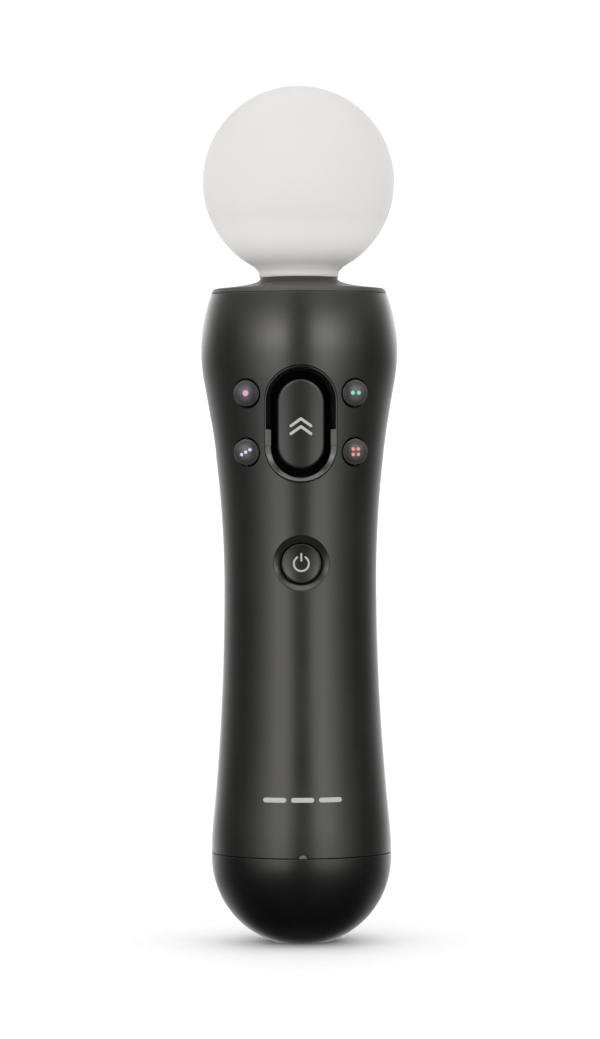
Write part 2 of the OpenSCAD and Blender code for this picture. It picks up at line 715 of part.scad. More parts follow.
bracket_screw_z = [pivot_z - 9.5, pivot_z + 4.2];
module trigger_bracket() color([0.3, 0.3, 0.32]) difference() {
    union() {
        box([-bracket_x - bracket_t, bracket_x + bracket_t], [bracket_y, bracket_y + bracket_plate_t],
            [bracket_low, bracket_high]);
        for (x = [bracket_x, -bracket_x - bracket_t]) {
            box([x, x + bracket_t], [bracket_y, pivot_y], [pivot_z - 4, pivot_z + 4]);
            translate([x, pivot_y, pivot_z]) point_right() cylinder(r = 4, h = bracket_t);
        }
    }
    translate([-far, pivot_y, pivot_z]) point_right() cylinder(r = pin_d / 2, h = 2 * far);
    for (z = bracket_screw_z) translate([0, 0, z]) point_back() cylinder(r = 0.87, h = 9);
}

module trigger_board() color("darkgreen")
    box([-5.5, 5.5], [pad_board_y, pad_board_y + 1], [sensor_z - 5.5, sensor_z + 6]);

module trigger_pad() color([0.25, 0.25, 0.27]) translate([0, pad_board_y + 1, sensor_z])
    point_back() {
        cylinder(r = 4, h = 0.8);
        translate([0, 0, 0.8 - eps]) cylinder(r1 = 3.2, r2 = 1.8,
            h = sensor_tip_y - dome_gap - pad_board_y - 1.8);
    }

// ---- boards ----

board_low = 20.4;
board_high = shoulder_z + 2.4;
board_foot_half = 9.4;                    // between the lower screw bosses
board_half_low = 12;
board_half_high = 13.4;

module board_outline() polygon([for (s = [1, -1]) each let (p = [[board_foot_half, board_low],
    [board_foot_half, 36], [board_half_low, 38.5], [board_half_low, action_lower_z - 10.4],
    [board_half_high, action_lower_z - 5.4], [board_half_high, board_high]])
    [for (i = [0 : 5]) let (q = p[s > 0 ? i : 5 - i]) [s * q[0], q[1]]]]);

module main_board() color([0.05, 0.3, 0.12]) difference() {
    translate([0, board_back_y, 0]) point_front() linear_extrude(board_t) board_outline();
    for (p = board_screw_at) translate([p[0], 0, p[1]]) point_front()
        cylinder(r = small_r + 0.02, h = far, center = true);
}
board_screw_at = [for (x = [-9.4, 9.4], z = [44, board_high - 3]) [x, z]];

// One size of small screw holds the board, the trigger bracket and the motor clamp
small_r = 0.85;
small_l = 3.8;
module small_screw() translate([0, 0, -small_l]) pan_screw(small_r, small_l, 1.5, 0.9);

module chassis_screws() color("silver") {
    for (p = board_screw_at) translate([p[0], board_y, p[1]]) point_front() small_screw();
    for (z = bracket_screw_z) translate([0, bracket_y + bracket_plate_t, z]) point_back()
        small_screw();
    for (s = [-1, 1]) translate([s * clamp_screw_x, clamp_t, clamp_z]) point_back() small_screw();
}

// Rubber sheet with a sprung dome under each front button
module button_membrane() color([0.75, 0.75, 0.73]) {
    box([-13.4, 13.4], [membrane_y, board_y],
        [action_lower_z - 4.6, action_upper_z + 4.6]);
    for (s = [-1, 1], z = [action_upper_z, action_lower_z])
        translate([s * (action_x - (plunger_y - skin_y(action_x, z)) * tan(action_tilt)),
            membrane_y + eps, z]) point_front() cylinder(r1 = 1.9, r2 = 1.4, h = 0.9);
    translate([0, membrane_y + eps, main_z]) point_front()
        cylinder(r1 = 4, r2 = 2.6, h = membrane_y - plunger_y - dome_gap);
}

module home_membrane() color([0.75, 0.75, 0.73]) translate([0, board_y, home_z]) point_front() {
    cylinder(r = 6, h = membrane_t);
    translate([0, 0, membrane_t - eps])
        cylinder(r1 = 3.4, r2 = 2.2, h = membrane_y - home_tip_y - dome_gap);
}

module radio_shield() color("silver")
    box([-7, 7], [board_back_y, board_back_y + part_h], [main_z - 12.8, main_z + 1.2]);
module processor_chip() color([0.08, 0.08, 0.09])
    box([-5, 5], [board_back_y, board_back_y + 1], [86, 96]);
module inertial_sensor_chip() color([0.08, 0.08, 0.09])
    box([-8, -4], [board_back_y, board_back_y + 1.1], [75, 79]);
module compass_chip() color([0.08, 0.08, 0.09])
    box([4, 7], [board_back_y, board_back_y + 0.9], [75, 78]);
module status_led() color("ivory") box([-0.8, 0.8], [board_y - 0.7, board_y], [20.9, 22.2]);

// A small board and rubber pad behind each side button
module mirrored(side) mirror([side > 0 ? 0 : 1, 0, 0]) children();
module side_board(side) color("darkgreen") mirrored(side)
    box([side_board_x, side_board_x + side_board_t], [-4, 4], [side_z - 6, side_z + 6]);
module side_pad(side) color([0.25, 0.25, 0.27]) mirrored(side)
    translate([side_board_x + side_board_t, 0, side_z]) {
        box([0, side_pad_t], [-3, 3], [-5, 5]);
        translate([side_pad_t - eps, 0, 0]) point_right() cylinder(r1 = 2.4, r2 = 1.6,
            h = side_travel + pressed_dome - dome_gap);
    }

// ---- chassis and battery ----

plate_back_y = plate_y + plate_t;
module ear_hole(x, z) translate([x, -far, z]) point_back() cylinder(r = boss_r + sink, h = 2 * far);

module chassis() color([0.22, 0.22, 0.23]) difference() {
    union() {
        box([-11.4, 11.4], [plate_y, plate_back_y], [clamp_z - clamp_h / 2, body_top - 7.8]);
        // rings around the casing's screw bosses
        for (s = [-1, 1]) {
            translate([s * screw_x_top, plate_back_y, screw_z_top]) point_front()
                cylinder(r = boss_r + 1.4, h = plate_t);
            translate([s * screw_x_low, plate_back_y, screw_z_low]) point_front()
                cylinder(r = boss_r + 1.4, h = plate_t);
            box([s * 11.5 - 1.9, s * 11.5 + 1.9], [plate_y, plate_back_y], [screw_z_low + 2, 44]);
        }
        // battery tray
        for (x = [side_wall_x, -side_wall_x - side_wall_t])
            for (z = [[battery_z - 1.2, battery_top + 1.2], [side_z - 7, side_z + 7]])
                box([x, x + side_wall_t], [plate_back_y - 0.2, 4], z);
        box([-side_wall_x - 0.2, side_wall_x + 0.2], [plate_back_y - 0.2, 4],
            [battery_z - 1.2, battery_z - sink]);
        box([-side_wall_x - 0.2, side_wall_x + 0.2], [plate_back_y - 0.2, -1],
            [battery_top + sink, battery_top + 1.2]);
        // shelf under the lamp board
        box([-7.6, 7.6], [plate_y, 7.6], [body_top - 7.9, lamp_z]);
        // stand-offs for the board and the trigger bracket
        for (p = board_screw_at) translate([p[0], plate_back_y, p[1]]) point_front()
            cylinder(r = 1.9, h = plate_back_y - board_back_y);
        for (z = bracket_screw_z) translate([0, plate_y, z]) point_back()
            cylinder(r = 2.2, h = bracket_y - plate_y);
        // front half of the motor's cradle
        intersection() {
            translate([0, 0, clamp_z - clamp_h / 2]) cylinder(r = motor_r + 1.4, h = clamp_h);
            box([-far, far], [-far, 0], [0, far]);
        }
        for (x = [motor_r + 0.6, -motor_r - 3.7])
            box([x, x + 3.1], [-2.8, 0], [clamp_z - clamp_h / 2, clamp_z + clamp_h / 2]);
    }
    for (s = [-1, 1]) {
        ear_hole(s * screw_x_top, screw_z_top);
        ear_hole(s * screw_x_low, screw_z_low);
        translate([s * clamp_screw_x, -2.7, clamp_z]) point_back() cylinder(r = small_r + 0.02, h = 5);
    }
    for (p = board_screw_at) translate([p[0], board_y, p[1]]) point_back()
        cylinder(r = small_r + 0.02, h = small_l + 0.1);
    for (z = bracket_screw_z) translate([0, bracket_y - 2.8, z]) point_back()
        cylinder(r = small_r + 0.02, h = 5);
    translate([0, 0, motor_z - 1]) cylinder(r = motor_r + sink, h = motor_l + 1.4);
    // window for the motor's leads
    box([2.4, 6.6], [plate_y - 1, plate_back_y + 1], [41.4, 44.9]);
}

module battery() color([0.2, 0.3, 0.5]) translate([0, battery_y + battery_t / 2, battery_z])
    linear_extrude(battery_l) {
        r = 2.5;
        square([battery_w - 2 * r, battery_t], center = true);
        square([battery_w, battery_t - 2 * r], center = true);
        for (x = [-1, 1], y = [-1, 1]) translate([x * (battery_w / 2 - r), y * (battery_t / 2 - r)])
            circle(r = r);
    }

socket_z = 98;
module battery_socket() color("ivory")
    box([-10.8, -6.8], [board_back_y, board_back_y + part_h], [socket_z, socket_z + 5]);
module battery_plug() color("white")
    box([-10.5, -7.1], [board_back_y + 0.1, board_back_y + part_h], [socket_z + 5, socket_z + 7]);

lead_r = 0.4;
module battery_leads() for (i = [0, 1]) color(i == 0 ? "red" : "black") {
    z = socket_z + 9 + 1.3 * i;
    wire(spline([[-9.5 + 1.3 * i, -7, socket_z + 7 + sink], [-9.5 + 1.3 * i, -7, z - 0.8],
        [-12.2, -6.6, z], [-12.6, -4, z], [-10.8, -0.4, z], [-8 + i, 0.8, z - 0.6],
        [-7 + 1.4 * i, 0.9, battery_top + 1.6], [-7 + 1.4 * i, 0.9, battery_top]], 3),
        lead_r, [1, 0, 0], 8);
}

// ---- foot: rumble motor and ports ----

motor_l = 16;
motor_z = cap_h + 3;
motor_r = motor_d / 2;
shaft_r = 0.75;
weight_z = motor_z - 5.6;
clamp_z = motor_z + 9;
clamp_h = 8;
clamp_t = 1.2;
clamp_screw_x = motor_r + 2.5;

module rumble_motor() color("silver") difference() {
    translate([0, 0, motor_z]) cylinder(r = motor_r, h = motor_l);
    translate([0, 0, motor_z - 1]) cylinder(r = shaft_r + 0.05, h = 6);
}

module motor_shaft() color("silver") translate([0, 0, weight_z - 0.5])
    cylinder(r = shaft_r, h = motor_z + 4.5 - weight_z);

// Half-round weight, off centre on the shaft
module rumble_weight() color([0.6, 0.58, 0.52]) translate([0, 0, weight_z]) difference() {
    union() {
        intersection() {
            cylinder(r = 6.4, h = 4.4);
            box([-far, far], [0, far], [-1, far]);
        }
        cylinder(r = 2.2, h = 4.4);
    }
    translate([0, 0, -1]) cylinder(r = shaft_r, h = 8);
}

module motor_clamp() color([0.22, 0.22, 0.23]) difference() {
    union() {
        intersection() {
            translate([0, 0, clamp_z - clamp_h / 2]) cylinder(r = motor_r + 1, h = clamp_h);
            box([-far, far], [0, far], [0, far]);
        }
        for (x = [motor_r + 0.6, -motor_r - 3.7])
            box([x, x + 3.1], [0, clamp_t], [clamp_z - clamp_h / 2, clamp_z + clamp_h / 2]);
    }
    translate([0, 0, motor_z - 1]) cylinder(r = motor_r + sink, h = motor_l + 1.4);
    for (s = [-1, 1]) translate([s * clamp_screw_x, -1, clamp_z]) point_back()
        cylinder(r = small_r + 0.02, h = 5);
}

module motor_leads() for (i = [0, 1]) color(i == 0 ? "red" : "blue")
    wire(spline([for (p = [[0.9, 0, motor_z + motor_l + sink], [0.9, -0.6, motor_z + motor_l + 1.4],
        [2.4, -3, 42.6], [3.6, -5.6, 43.1], [3.8, -6.95, 44.8], [3.8, -7, 50]])
        p + [1.4 * i, 0, 0]], 3), lead_r, [1, 0, 0], 8);

module port_board() color([0.05, 0.3, 0.12])
    box([-8, 8], [-port_board_t / 2, port_board_t / 2], [3, 17.3]);

// Flat cable from the port board to the main board, in front of the rumble weight
module port_ribbon() color("white") {
    box([-3, 3], [board_back_y, -port_board_t / 2], [16.4, 16.6]);
    box([-3, 3], [board_back_y, board_back_y + 0.2], [16.4, 26]);
}

module usb_socket() color("silver") difference() {
    union() {
        box([-usb_w / 2, usb_w / 2], [usb_y - usb_t / 2, usb_y + usb_t / 2], [0.5, 9.6]);
        for (x = [-3.4, 2.2]) box([x, x + 1.2], [usb_y + usb_t / 2 - 0.3, -port_board_t / 2], [6, 9.6]);
    }
    box([-usb_w / 2 + 0.35, usb_w / 2 - 0.35], [usb_y - usb_t / 2 + 0.35, usb_y + usb_t / 2 - 0.35],
        [0, 8.6]);
}
module usb_tongue() color("black") box([-2.6, 2.6], [usb_y - 0.4, usb_y + 0.4], [1.6, 8.6]);

module extension_socket() color([0.05, 0.05, 0.05]) difference() {
    union() {
        box([-ext_w / 2, ext_w / 2], [ext_y - ext_t / 2, ext_y + ext_t / 2], [0.9, 10]);
        for (x = [-5, 3.8]) box([x, x + 1.2], [port_board_t / 2, ext_y - ext_t / 2 + 0.3], [6, 10]);
    }
    box([-ext_w / 2 + 0.8, ext_w / 2 - 0.8], [ext_y - 1.1, ext_y + 1.1], [0, 7.5]);
}
module extension_contacts() color("gold") for (i = [-3 : 3])
    box([i * 1.3 - 0.3, i * 1.3 + 0.3], [ext_y + 0.7, ext_y + 1.1], [1.5, 7.5]);

module charge_contacts() color("gold") for (s = [-1, 1]) translate([s * contact_x, 0, 0]) {
    translate([0, 0, 2.9]) cylinder(r = contact_r, h = 3.9);
    translate([0, 0, 6.1]) cylinder(r = contact_r + 0.3, h = 0.7);
}

light_ball();
ball_holder();
light_guide();
rgb_led();
led_board();
led_board_screws();
led_cable();
top_collar();
front_shell();
rear_shell();
shell_screws();
bottom_cap();
status_lens();
main_button();
main_button_rim();
home_button();
action_button(-1, action_upper_z);  // action_button_upper_left
action_button(1, action_upper_z);  // action_button_upper_right
action_button(-1, action_lower_z);  // action_button_lower_left
action_button(1, action_lower_z);  // action_button_lower_right
side_button(-1);  // select_button
side_button(1);  // start_button
trigger();
trigger_pin();
trigger_spring();
trigger_bracket();
trigger_board();
trigger_pad();
main_board();
chassis_screws();
button_membrane();
home_membrane();
radio_shield();
processor_chip();
inertial_sensor_chip();
compass_chip();
status_led();
side_board(-1);  // side_board_left
side_board(1);  // side_board_right
side_pad(-1);  // side_pad_left
side_pad(1);  // side_pad_right
chassis();
battery();
battery_leads();
battery_plug();
battery_socket();
rumble_motor();
motor_shaft();
rumble_weight();
motor_clamp();
motor_leads();
port_board();
port_ribbon();
usb_socket();
usb_tongue();
extension_socket();
extension_contacts();
charge_contacts();
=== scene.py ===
"""Looks of one hand-held motion controller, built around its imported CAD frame.

Every outside piece is made here in finer mesh than the CAD solid it stands for; what is inside
keeps its CAD mesh and gets a material. Sizes are millimetres until a mesh is made, in the CAD's
frame: +Z up the handle, -Y the button side, origin at the centre of the flat foot.
"""

import json
import math

import bmesh
import bpy
import numpy as np
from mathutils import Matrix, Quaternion, Vector


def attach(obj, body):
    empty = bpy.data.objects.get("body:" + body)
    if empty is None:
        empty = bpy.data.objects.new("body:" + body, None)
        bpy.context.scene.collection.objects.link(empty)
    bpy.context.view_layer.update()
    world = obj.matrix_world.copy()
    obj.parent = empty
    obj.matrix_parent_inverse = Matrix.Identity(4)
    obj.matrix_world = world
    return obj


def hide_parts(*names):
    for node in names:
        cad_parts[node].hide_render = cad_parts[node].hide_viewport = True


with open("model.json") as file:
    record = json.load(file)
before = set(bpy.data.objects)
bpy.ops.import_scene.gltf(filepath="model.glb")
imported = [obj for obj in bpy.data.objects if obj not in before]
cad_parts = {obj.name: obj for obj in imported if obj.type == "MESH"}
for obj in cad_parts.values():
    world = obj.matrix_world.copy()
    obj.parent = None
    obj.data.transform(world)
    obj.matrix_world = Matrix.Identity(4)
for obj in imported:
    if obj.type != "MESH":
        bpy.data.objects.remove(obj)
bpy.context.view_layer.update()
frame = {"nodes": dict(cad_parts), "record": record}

MM = 0.001
SAME_POINT = 1e-7               # metres within which points are merged
PI = math.pi
MATERIALS = {}                  # by name, which is a slot's or a special finish's

# ---- outline of the handle, as in the CAD ----

SHOULDER_R, SHOULDER_Z = 22.95, 138.6
WAIST_R, WAIST_Z = 17.75, 83.5
FOOT_R, CAP_H, BODY_TOP = 21.0, 21.0, 151.3
TOP_BEND, SHOULDER_BEND, FOOT_BEND = 37.0, 43.0, 70.0
WALL = 2.0
SEAM = 0.07                     # half of the open gap at a seam
EDGE = 0.16                     # rounding along seams and openings
EASE = np.array([0, 0.06, 0.2, 0.42, 0.7, 1])    # close steps across a rounding, as shares of it
CREASE, SOFT_CREASE = 38, 50    # degrees above which an edge stays sharp


def arcs_sum(offset, height):
    """What the radii of two arcs add up to when they meet on a common tangent."""
    return (offset ** 2 + height ** 2) / (2 * offset)


UPPER_SUM = arcs_sum(SHOULDER_R - WAIST_R, SHOULDER_Z - WAIST_Z)
LOWER_SUM = arcs_sum(FOOT_R - WAIST_R, WAIST_Z - CAP_H)
UPPER_TURN = SHOULDER_Z - (SHOULDER_Z - WAIST_Z) * SHOULDER_BEND / UPPER_SUM
LOWER_TURN = CAP_H + (WAIST_Z - CAP_H) * FOOT_BEND / LOWER_SUM


def arc_drop(bend, dz):
    """How far an arc of radius bend has come in at dz from its widest point."""
    return bend - np.sqrt(np.maximum(bend ** 2 - dz ** 2, 0))


def body_r(z):
    """Radius of the handle at heights z."""
    z = np.asarray(z, float)
    return np.select(
        [z > SHOULDER_Z, z > UPPER_TURN, z > WAIST_Z, z > LOWER_TURN],
        [SHOULDER_R - arc_drop(TOP_BEND, z - SHOULDER_Z),
         SHOULDER_R - arc_drop(SHOULDER_BEND, z - SHOULDER_Z),
         WAIST_R + arc_drop(UPPER_SUM - SHOULDER_BEND, z - WAIST_Z),
         WAIST_R + arc_drop(LOWER_SUM - FOOT_BEND, z - WAIST_Z)],
        FOOT_R - arc_drop(FOOT_BEND, z - CAP_H))


def rounding(d, f=EDGE):
    """How far a surface stands back at distance d from an edge rounded to radius f."""
    t = np.clip(f - np.asarray(d, float), 0, f)
    return f - np.sqrt(f ** 2 - t ** 2)


# ---- meshes ----

def circle(steps):
    """Angles once round."""
    return np.linspace(0, 2 * PI, steps, endpoint=False)


def eased(low, high, close, count):
    """Places from low to high, with close steps at both ends, where the edges are rounded."""
    inner = np.linspace(low + close[-1], high - close[-1], count)
    return np.concatenate([low + close[:-1], inner, high - close[:-1][::-1]])


def ring_faces(count, rings):
    """Quads between stacked closed rings of count points each."""
    a = np.arange(count)
    b = (a + 1) % count
    low = np.arange(rings - 1)[:, None] * count
    quads = np.stack([low + a, low + b, low + b + count, low + a + count], axis=-1)
    return quads.reshape(-1, 4).tolist()


def fan(ring, centre, flip):
    """Triangles from a ring's indices to a centre point."""
    pairs = zip(ring, ring[1:] + ring[:1])
    return [(b, a, centre) if flip else (a, b, centre) for a, b in pairs]


def stack(rings, closes_itself=False):
    """Points and faces of a solid through stacked rings, closed by a fan at its first end and
    at its last, where the last ring doesn't shrink to a line or point that closes itself."""
    rings = [np.asarray(r, float) for r in rings]
    count, total = len(rings[0]), len(rings) * len(rings[0])
    points = np.vstack(rings + [rings[0].mean(0, keepdims=True)])
    faces = ring_faces(count, len(rings)) + fan(list(range(count)), total, True)
    if not closes_itself:
        points = np.vstack([points, rings[-1].mean(0, keepdims=True)])
        faces += fan(list(range(total - count, total)), total + 1, False)
    return points, faces


def loft(rings):
    """Points and faces of a closed sleeve: the last ring joins back to the first."""
    rings = [np.asarray(r, float) for r in rings]
    count = len(rings[0])
    faces = ring_faces(count, len(rings))
    last = (len(rings) - 1) * count
    for i in range(count):
        j = (i + 1) % count
        faces.append((last + i, last + j, j, i))
    return np.vstack(rings), faces


def slab(rings, flip=False):
    """Points and faces of a solid through rings that each run out and come back in as many steps,
    so that a strip of quads closes it at either end."""
    count = len(rings[0])
    faces = ring_faces(count, len(rings))
    last = (len(rings) - 1) * count
    for k in range(count // 2 - 1):
        end = (k, k + 1, count - 2 - k, count - 1 - k)
        near, far = (end, end[::-1]) if flip else (end[::-1], end)
        faces += [near, tuple(last + i for i in far)]
    return np.vstack(rings), faces


def turned(profile, steps):
    """Points and faces of a closed profile of (radius, height) turned about Z."""
    a = circle(steps)
    rings = [np.c_[r * np.cos(a), r * np.sin(a), np.full(steps, z)] for r, z in profile]
    return loft(rings) if profile[0][0] > 0 and profile[-1][0] > 0 else stack(rings)


def joined(*parts):
    """One set of points and faces from several."""
    points, faces, start = [], [], 0
    for p, f in parts:
        points.append(p)
        faces += [tuple(i + start for i in face) for face in f]
        start += len(p)
    return np.vstack(points), faces


def mesh_object(name, part):
    """A Blender object from points in millimetres, with doubled points merged."""
    points, faces = part
    mesh = bpy.data.meshes.new(name)
    mesh.from_pydata((np.asarray(points) * MM).tolist(), [], faces)
    obj = bpy.data.objects.new(name, mesh)
    bpy.context.scene.collection.objects.link(obj)
    bm = bmesh.new()
    bm.from_mesh(mesh)
    bmesh.ops.remove_doubles(bm, verts=bm.verts, dist=SAME_POINT)
    bmesh.ops.recalc_face_normals(bm, faces=bm.faces)
    bm.to_mesh(mesh)
    bm.free()
    return obj


def cut(obj, part, operation="DIFFERENCE"):
    """Cuts a solid out of obj, or adds it, exactly."""
    tool = mesh_object(obj.name + "_tool", part)
    change = obj.modifiers.new("cut", "BOOLEAN")
    change.solver, change.operation, change.object = "EXACT", operation, tool
    seen = obj.evaluated_get(bpy.context.evaluated_depsgraph_get())
    done = bpy.data.meshes.new_from_object(seen)
    obj.modifiers.clear()
    obj.data = done
    bpy.data.objects.remove(tool)


def smooth(obj, angle=CREASE, skin=None):
    """Smooth shading with sharp edges above an angle. skin(points) gives the exact normals of
    points on a known surface, and whether each is on it."""
    bm = bmesh.new()
    bm.from_mesh(obj.data)
    for face in bm.faces:
        face.smooth = True
    for edge in bm.edges:
        edge.smooth = edge.calc_face_angle(0) < math.radians(angle)
    bm.to_mesh(obj.data)
    bm.free()
    if skin is None:
        return
    mesh = obj.data
    points = np.zeros(len(mesh.vertices) * 3)
    mesh.vertices.foreach_get("co", points)
    normals, on = skin(points.reshape(-1, 3) / MM)
    corner = np.zeros(len(mesh.loops), int)
    mesh.loops.foreach_get("vertex_index", corner)
    size = np.zeros(len(mesh.polygons), int)
    mesh.polygons.foreach_get("loop_total", size)
    face = np.repeat(np.arange(len(size)), size)
    whole = np.bincount(face, weights=on[corner], minlength=len(size)) == size
    custom = np.where(whole[face][:, None], normals[corner], 0)
    mesh.normals_split_custom_set(custom.tolist())


def paint_deep_shade(obj, is_deep):
    """Paints shade: gives the faces for which is_deep(middle, in millimetres) is true a near-black
    material that stands in for the shade deep in wells and gaps.
    """
    obj.data.materials.append(MATERIALS["well_painted_shade"])
    for face in obj.data.polygons:
        if is_deep(face.center / MM):
            face.material_index = 1


def finish_piece(obj, body, slot, *nodes, finish=None):
    """Gives a piece its body and the material of its finish or slot, and hides the CAD nodes that it
    stands for.
    """
    obj.data.materials.clear()
    obj.data.materials.append(MATERIALS[finish or slot])
    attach(obj, body)
    if nodes:
        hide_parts(*nodes)


def piece(name, part, angle, body, slot, *nodes, finish=None):
    """A piece made from points and faces, smoothed and finished."""
    obj = mesh_object(name, part)
    smooth(obj, angle)
    finish_piece(obj, body, slot, *nodes, finish=finish)
    return obj


# ---- places on the skin ----

class Site:
    """A place that faces outwards from the handle. u runs sideways, v up and w outwards, and w
    is 0 at the origin, which is on the handle's axis unless given."""

    def __init__(self, z, outwards, origin=(0.0, 0.0)):
        out = np.array(outwards, float)
        self.w = out / np.linalg.norm(out)
        self.u = np.array([-self.w[1], self.w[0]])
        self.at, self.z = np.array(origin, float), z

    def place(self, u, v, w):
        u, v, w = np.broadcast_arrays(*(np.asarray(k, float) for k in (u, v, w)))
        flat = self.at + u[..., None] * self.u + w[..., None] * self.w
        return np.concatenate([flat, (self.z + v)[..., None]], axis=-1)

    def skin(self, u, v, inset=0.0):
        """How far out the skin is at (u, v)."""
        base = self.at + np.asarray(u, float)[..., None] * self.u
        b = base @ self.w
        c = (base ** 2).sum(-1) - (body_r(self.z + v) - inset) ** 2
        return -b + np.sqrt(np.maximum(b * b - c, 0))


def outline(half_w, half_h, r, step=0.5):
    """Centres and directions round a rounded rectangle; each point is centre + r * direction."""
    cx, cz = half_w - r, half_h - r
    corners = [(cx, cz), (-cx, cz), (-cx, -cz), (cx, -cz)]
    arc = max(5, math.ceil(r * PI / 2 / step))
    centres, ways = [], []
    for k, corner in enumerate(corners):
        following = corners[(k + 1) % 4]
        length = math.dist(corner, following)
        turns = [(k + i / arc) * PI / 2 for i in range(arc + (length > 1e-6))]
        centres += [corner] * len(turns)
        ways += [(math.cos(a), math.sin(a)) for a in turns]
        n = math.ceil(length / step)
        for i in range(1, n):
            centres.append(tuple(np.array(corner) + (np.array(following) - corner) * i / n))
            ways.append((math.cos((k + 1) * PI / 2), math.sin((k + 1) * PI / 2)))
    return np.array(centres), np.array(ways), r


def slot_outline(width, height, grow=0.0, step=0.5):
    """Outline of a round-ended slot, or of a circle, grown outwards."""
    return outline(width / 2 + grow, height / 2 + grow, width / 2 + grow, step)


def offset(shape, by):
    """u and v of an outline's points, moved outwards."""
    centres, ways, r = shape
    return (centres + (r + by) * ways).T


def opening(site, shape, deep, f=EDGE):
    """Cutter for a hole in the casing that flares with a small rounding where it meets the skin."""
    u, v = offset(shape, 0)
    rings = [site.place(u, v, deep)]
    last = math.radians(72)
    for a in np.linspace(0, last, 5):
        u, v = offset(shape, f * (1 - math.cos(a)))
        rings.append(site.place(u, v, site.skin(u, v) - f * (1 - math.sin(a))))
    run = 0.7 * f
    u, v = offset(shape, f * (1 - math.cos(last)) + run * math.sin(last))
    rings.append(site.place(u, v, site.skin(u, v) - f * (1 - math.sin(last)) + run * math.cos(last)))
    rings.append(site.place(u, v, site.skin(u, v).max() + 2))
    return stack(rings)


# ---- sizes of what sits in the casings ----

MAIN_Z, MAIN_W, MAIN_H, MAIN_SUNK = 120.8, 10.8, 20.5, 0.3
WELL_W, WELL_H = 13.7, 24.4
RIM_W, RIM_H = 16.7, 27.0
RIM_BACK = 13.4
ACTION_R, ACTION_X = 3.05, 12.4
ACTION_UPPER_Z, ACTION_LOWER_Z = 127.9, 114.4
ACTION_TILT = math.radians(15)
ACTION_PROUD, ACTION_CROWN = 1.1, 7.5
HOME_R, HOME_Z, HOME_HOLLOW, HOME_SUNK = 4.55, 88.7, 20.0, 1.05
HOME_TOP = float(body_r(HOME_Z)) - HOME_SUNK
DISH_R, DISH_SLOPE = 6.45, 1.6
GAP, ACTION_GAP, HOME_GAP = 0.25, 0.34, 0.15
SIDE_Z, SIDE_W, SIDE_H = 118.0, 3.6, 8.6
TRIGGER_W, PIVOT_Y, PIVOT_Z, REACH = 13.6, 13.0, 133.0, 29.3
TRIGGER_LOW, TRIGGER_HIGH, TRIGGER_GAP = 103.7, 136.6, 0.4
FRONT, REAR = (0, -1), (0, 1)
SCREWS = [(14.6, BODY_TOP - 7.2), (-14.6, BODY_TOP - 7.2), (12.5, 28.0), (-12.5, 28.0)]
SCREW_CORE, SCREW_PASS, SCREW_HEAD = 1.02, 1.1, 2.1             # radii of the screws' holes
BOSS_R, BOSS_MEET, BOSS_SEAT = 2.6, 3.0, 11.5


def action_site(side, z):
    """On the skin at an action button's centre, facing along its travel."""
    y = -math.sqrt(float(body_r(z)) ** 2 - ACTION_X ** 2)
    return Site(z, (side * math.sin(ACTION_TILT), -math.cos(ACTION_TILT)), (side * ACTION_X, y))


# ---- casings ----

def half_casing(side):
    """Closed half shell of the handle, in front (-1) or behind (1), with rounded edges."""
    low, high, step, turns = CAP_H + SEAM, BODY_TOP - SEAM, 1.1, 130
    z = eased(low, high, EDGE * EASE, round((high - low) / step))
    ends = rounding(np.minimum(z - z[0], z[-1] - z))
    rings = []
    for a in eased(0, PI, EDGE * EASE / WAIST_R, turns):
        r = body_r(z) - ends - rounding(body_r(z) * math.sin(a))
        r, heights = np.concatenate([r, (body_r(z) - WALL)[::-1]]), np.concatenate([z, z[::-1]])
        rings.append(np.c_[r * math.cos(a), side * r * math.sin(a), heights])
    return slab(rings)


def skin_normals(points):
    """Exact normals of points on the handle's skin, and whether each point is on it."""
    (x, y, z), dz, near = points.T, 0.01, 0.012
    r = np.hypot(x, y)
    slope = (body_r(z + dz) - body_r(z - dz)) / (2 * dz)
    normals = np.c_[x / np.maximum(r, 1e-6), y / np.maximum(r, 1e-6), -slope]
    normals /= np.linalg.norm(normals, axis=1)[:, None]
    return normals, np.abs(r - body_r(z)) < near


def home_dish():
    """Cutter for the home button's bore and the shallow cone around it, whose edge on the round
    skin is a circle."""
    site = Site(HOME_Z, FRONT)
    top = float(body_r(HOME_Z))
    side_drop = top - math.sqrt(top ** 2 - DISH_R ** 2)
    stretch = DISH_R / (DISH_R - DISH_SLOPE * side_drop)
    a = circle(120)

    def cone(r):
        return top - (DISH_R - r * np.hypot(np.cos(a) / stretch, np.sin(a))) / DISH_SLOPE

    def ring(r, w):
        return site.place(r * np.cos(a), r * np.sin(a), w)

    bore, deep, bevel = HOME_R + HOME_GAP, 8, DISH_R + 0.16
    rings = [ring(bore, deep), ring(bore, cone(bore) - 0.2), ring(bore + 0.06, cone(bore) - 0.07)]
    rings += [ring(r, cone(r)) for r in np.linspace(bore + 0.2, DISH_R - 0.2, 8)]
    u, v = bevel * np.cos(a), bevel * np.sin(a)
    rings += [ring(bevel, site.skin(u, v) + 0.03), ring(bevel, top + 3)]
    return stack(rings)


def side_opening(side):
    deep = 14
    return opening(Site(SIDE_Z, (side, 0)), slot_outline(SIDE_W, SIDE_H, GAP, 0.3), deep)


def head_hole(x, z):
    """Cutter for a screw head's round hole along Y, flared where it meets the skin."""
    site, shape = Site(z, REAR, (x, 0)), slot_outline(2 * SCREW_HEAD, 2 * SCREW_HEAD, 0, 0.25)
    deep, beyond, flare = 8, 26, 0.2
    near, far = offset(shape, 0), offset(shape, flare)
    skin = site.skin(*near)
    return stack([site.place(*near, deep), site.place(*near, skin - flare),
                  site.place(*far, skin + 0.3 * flare), site.place(*far, beyond)])


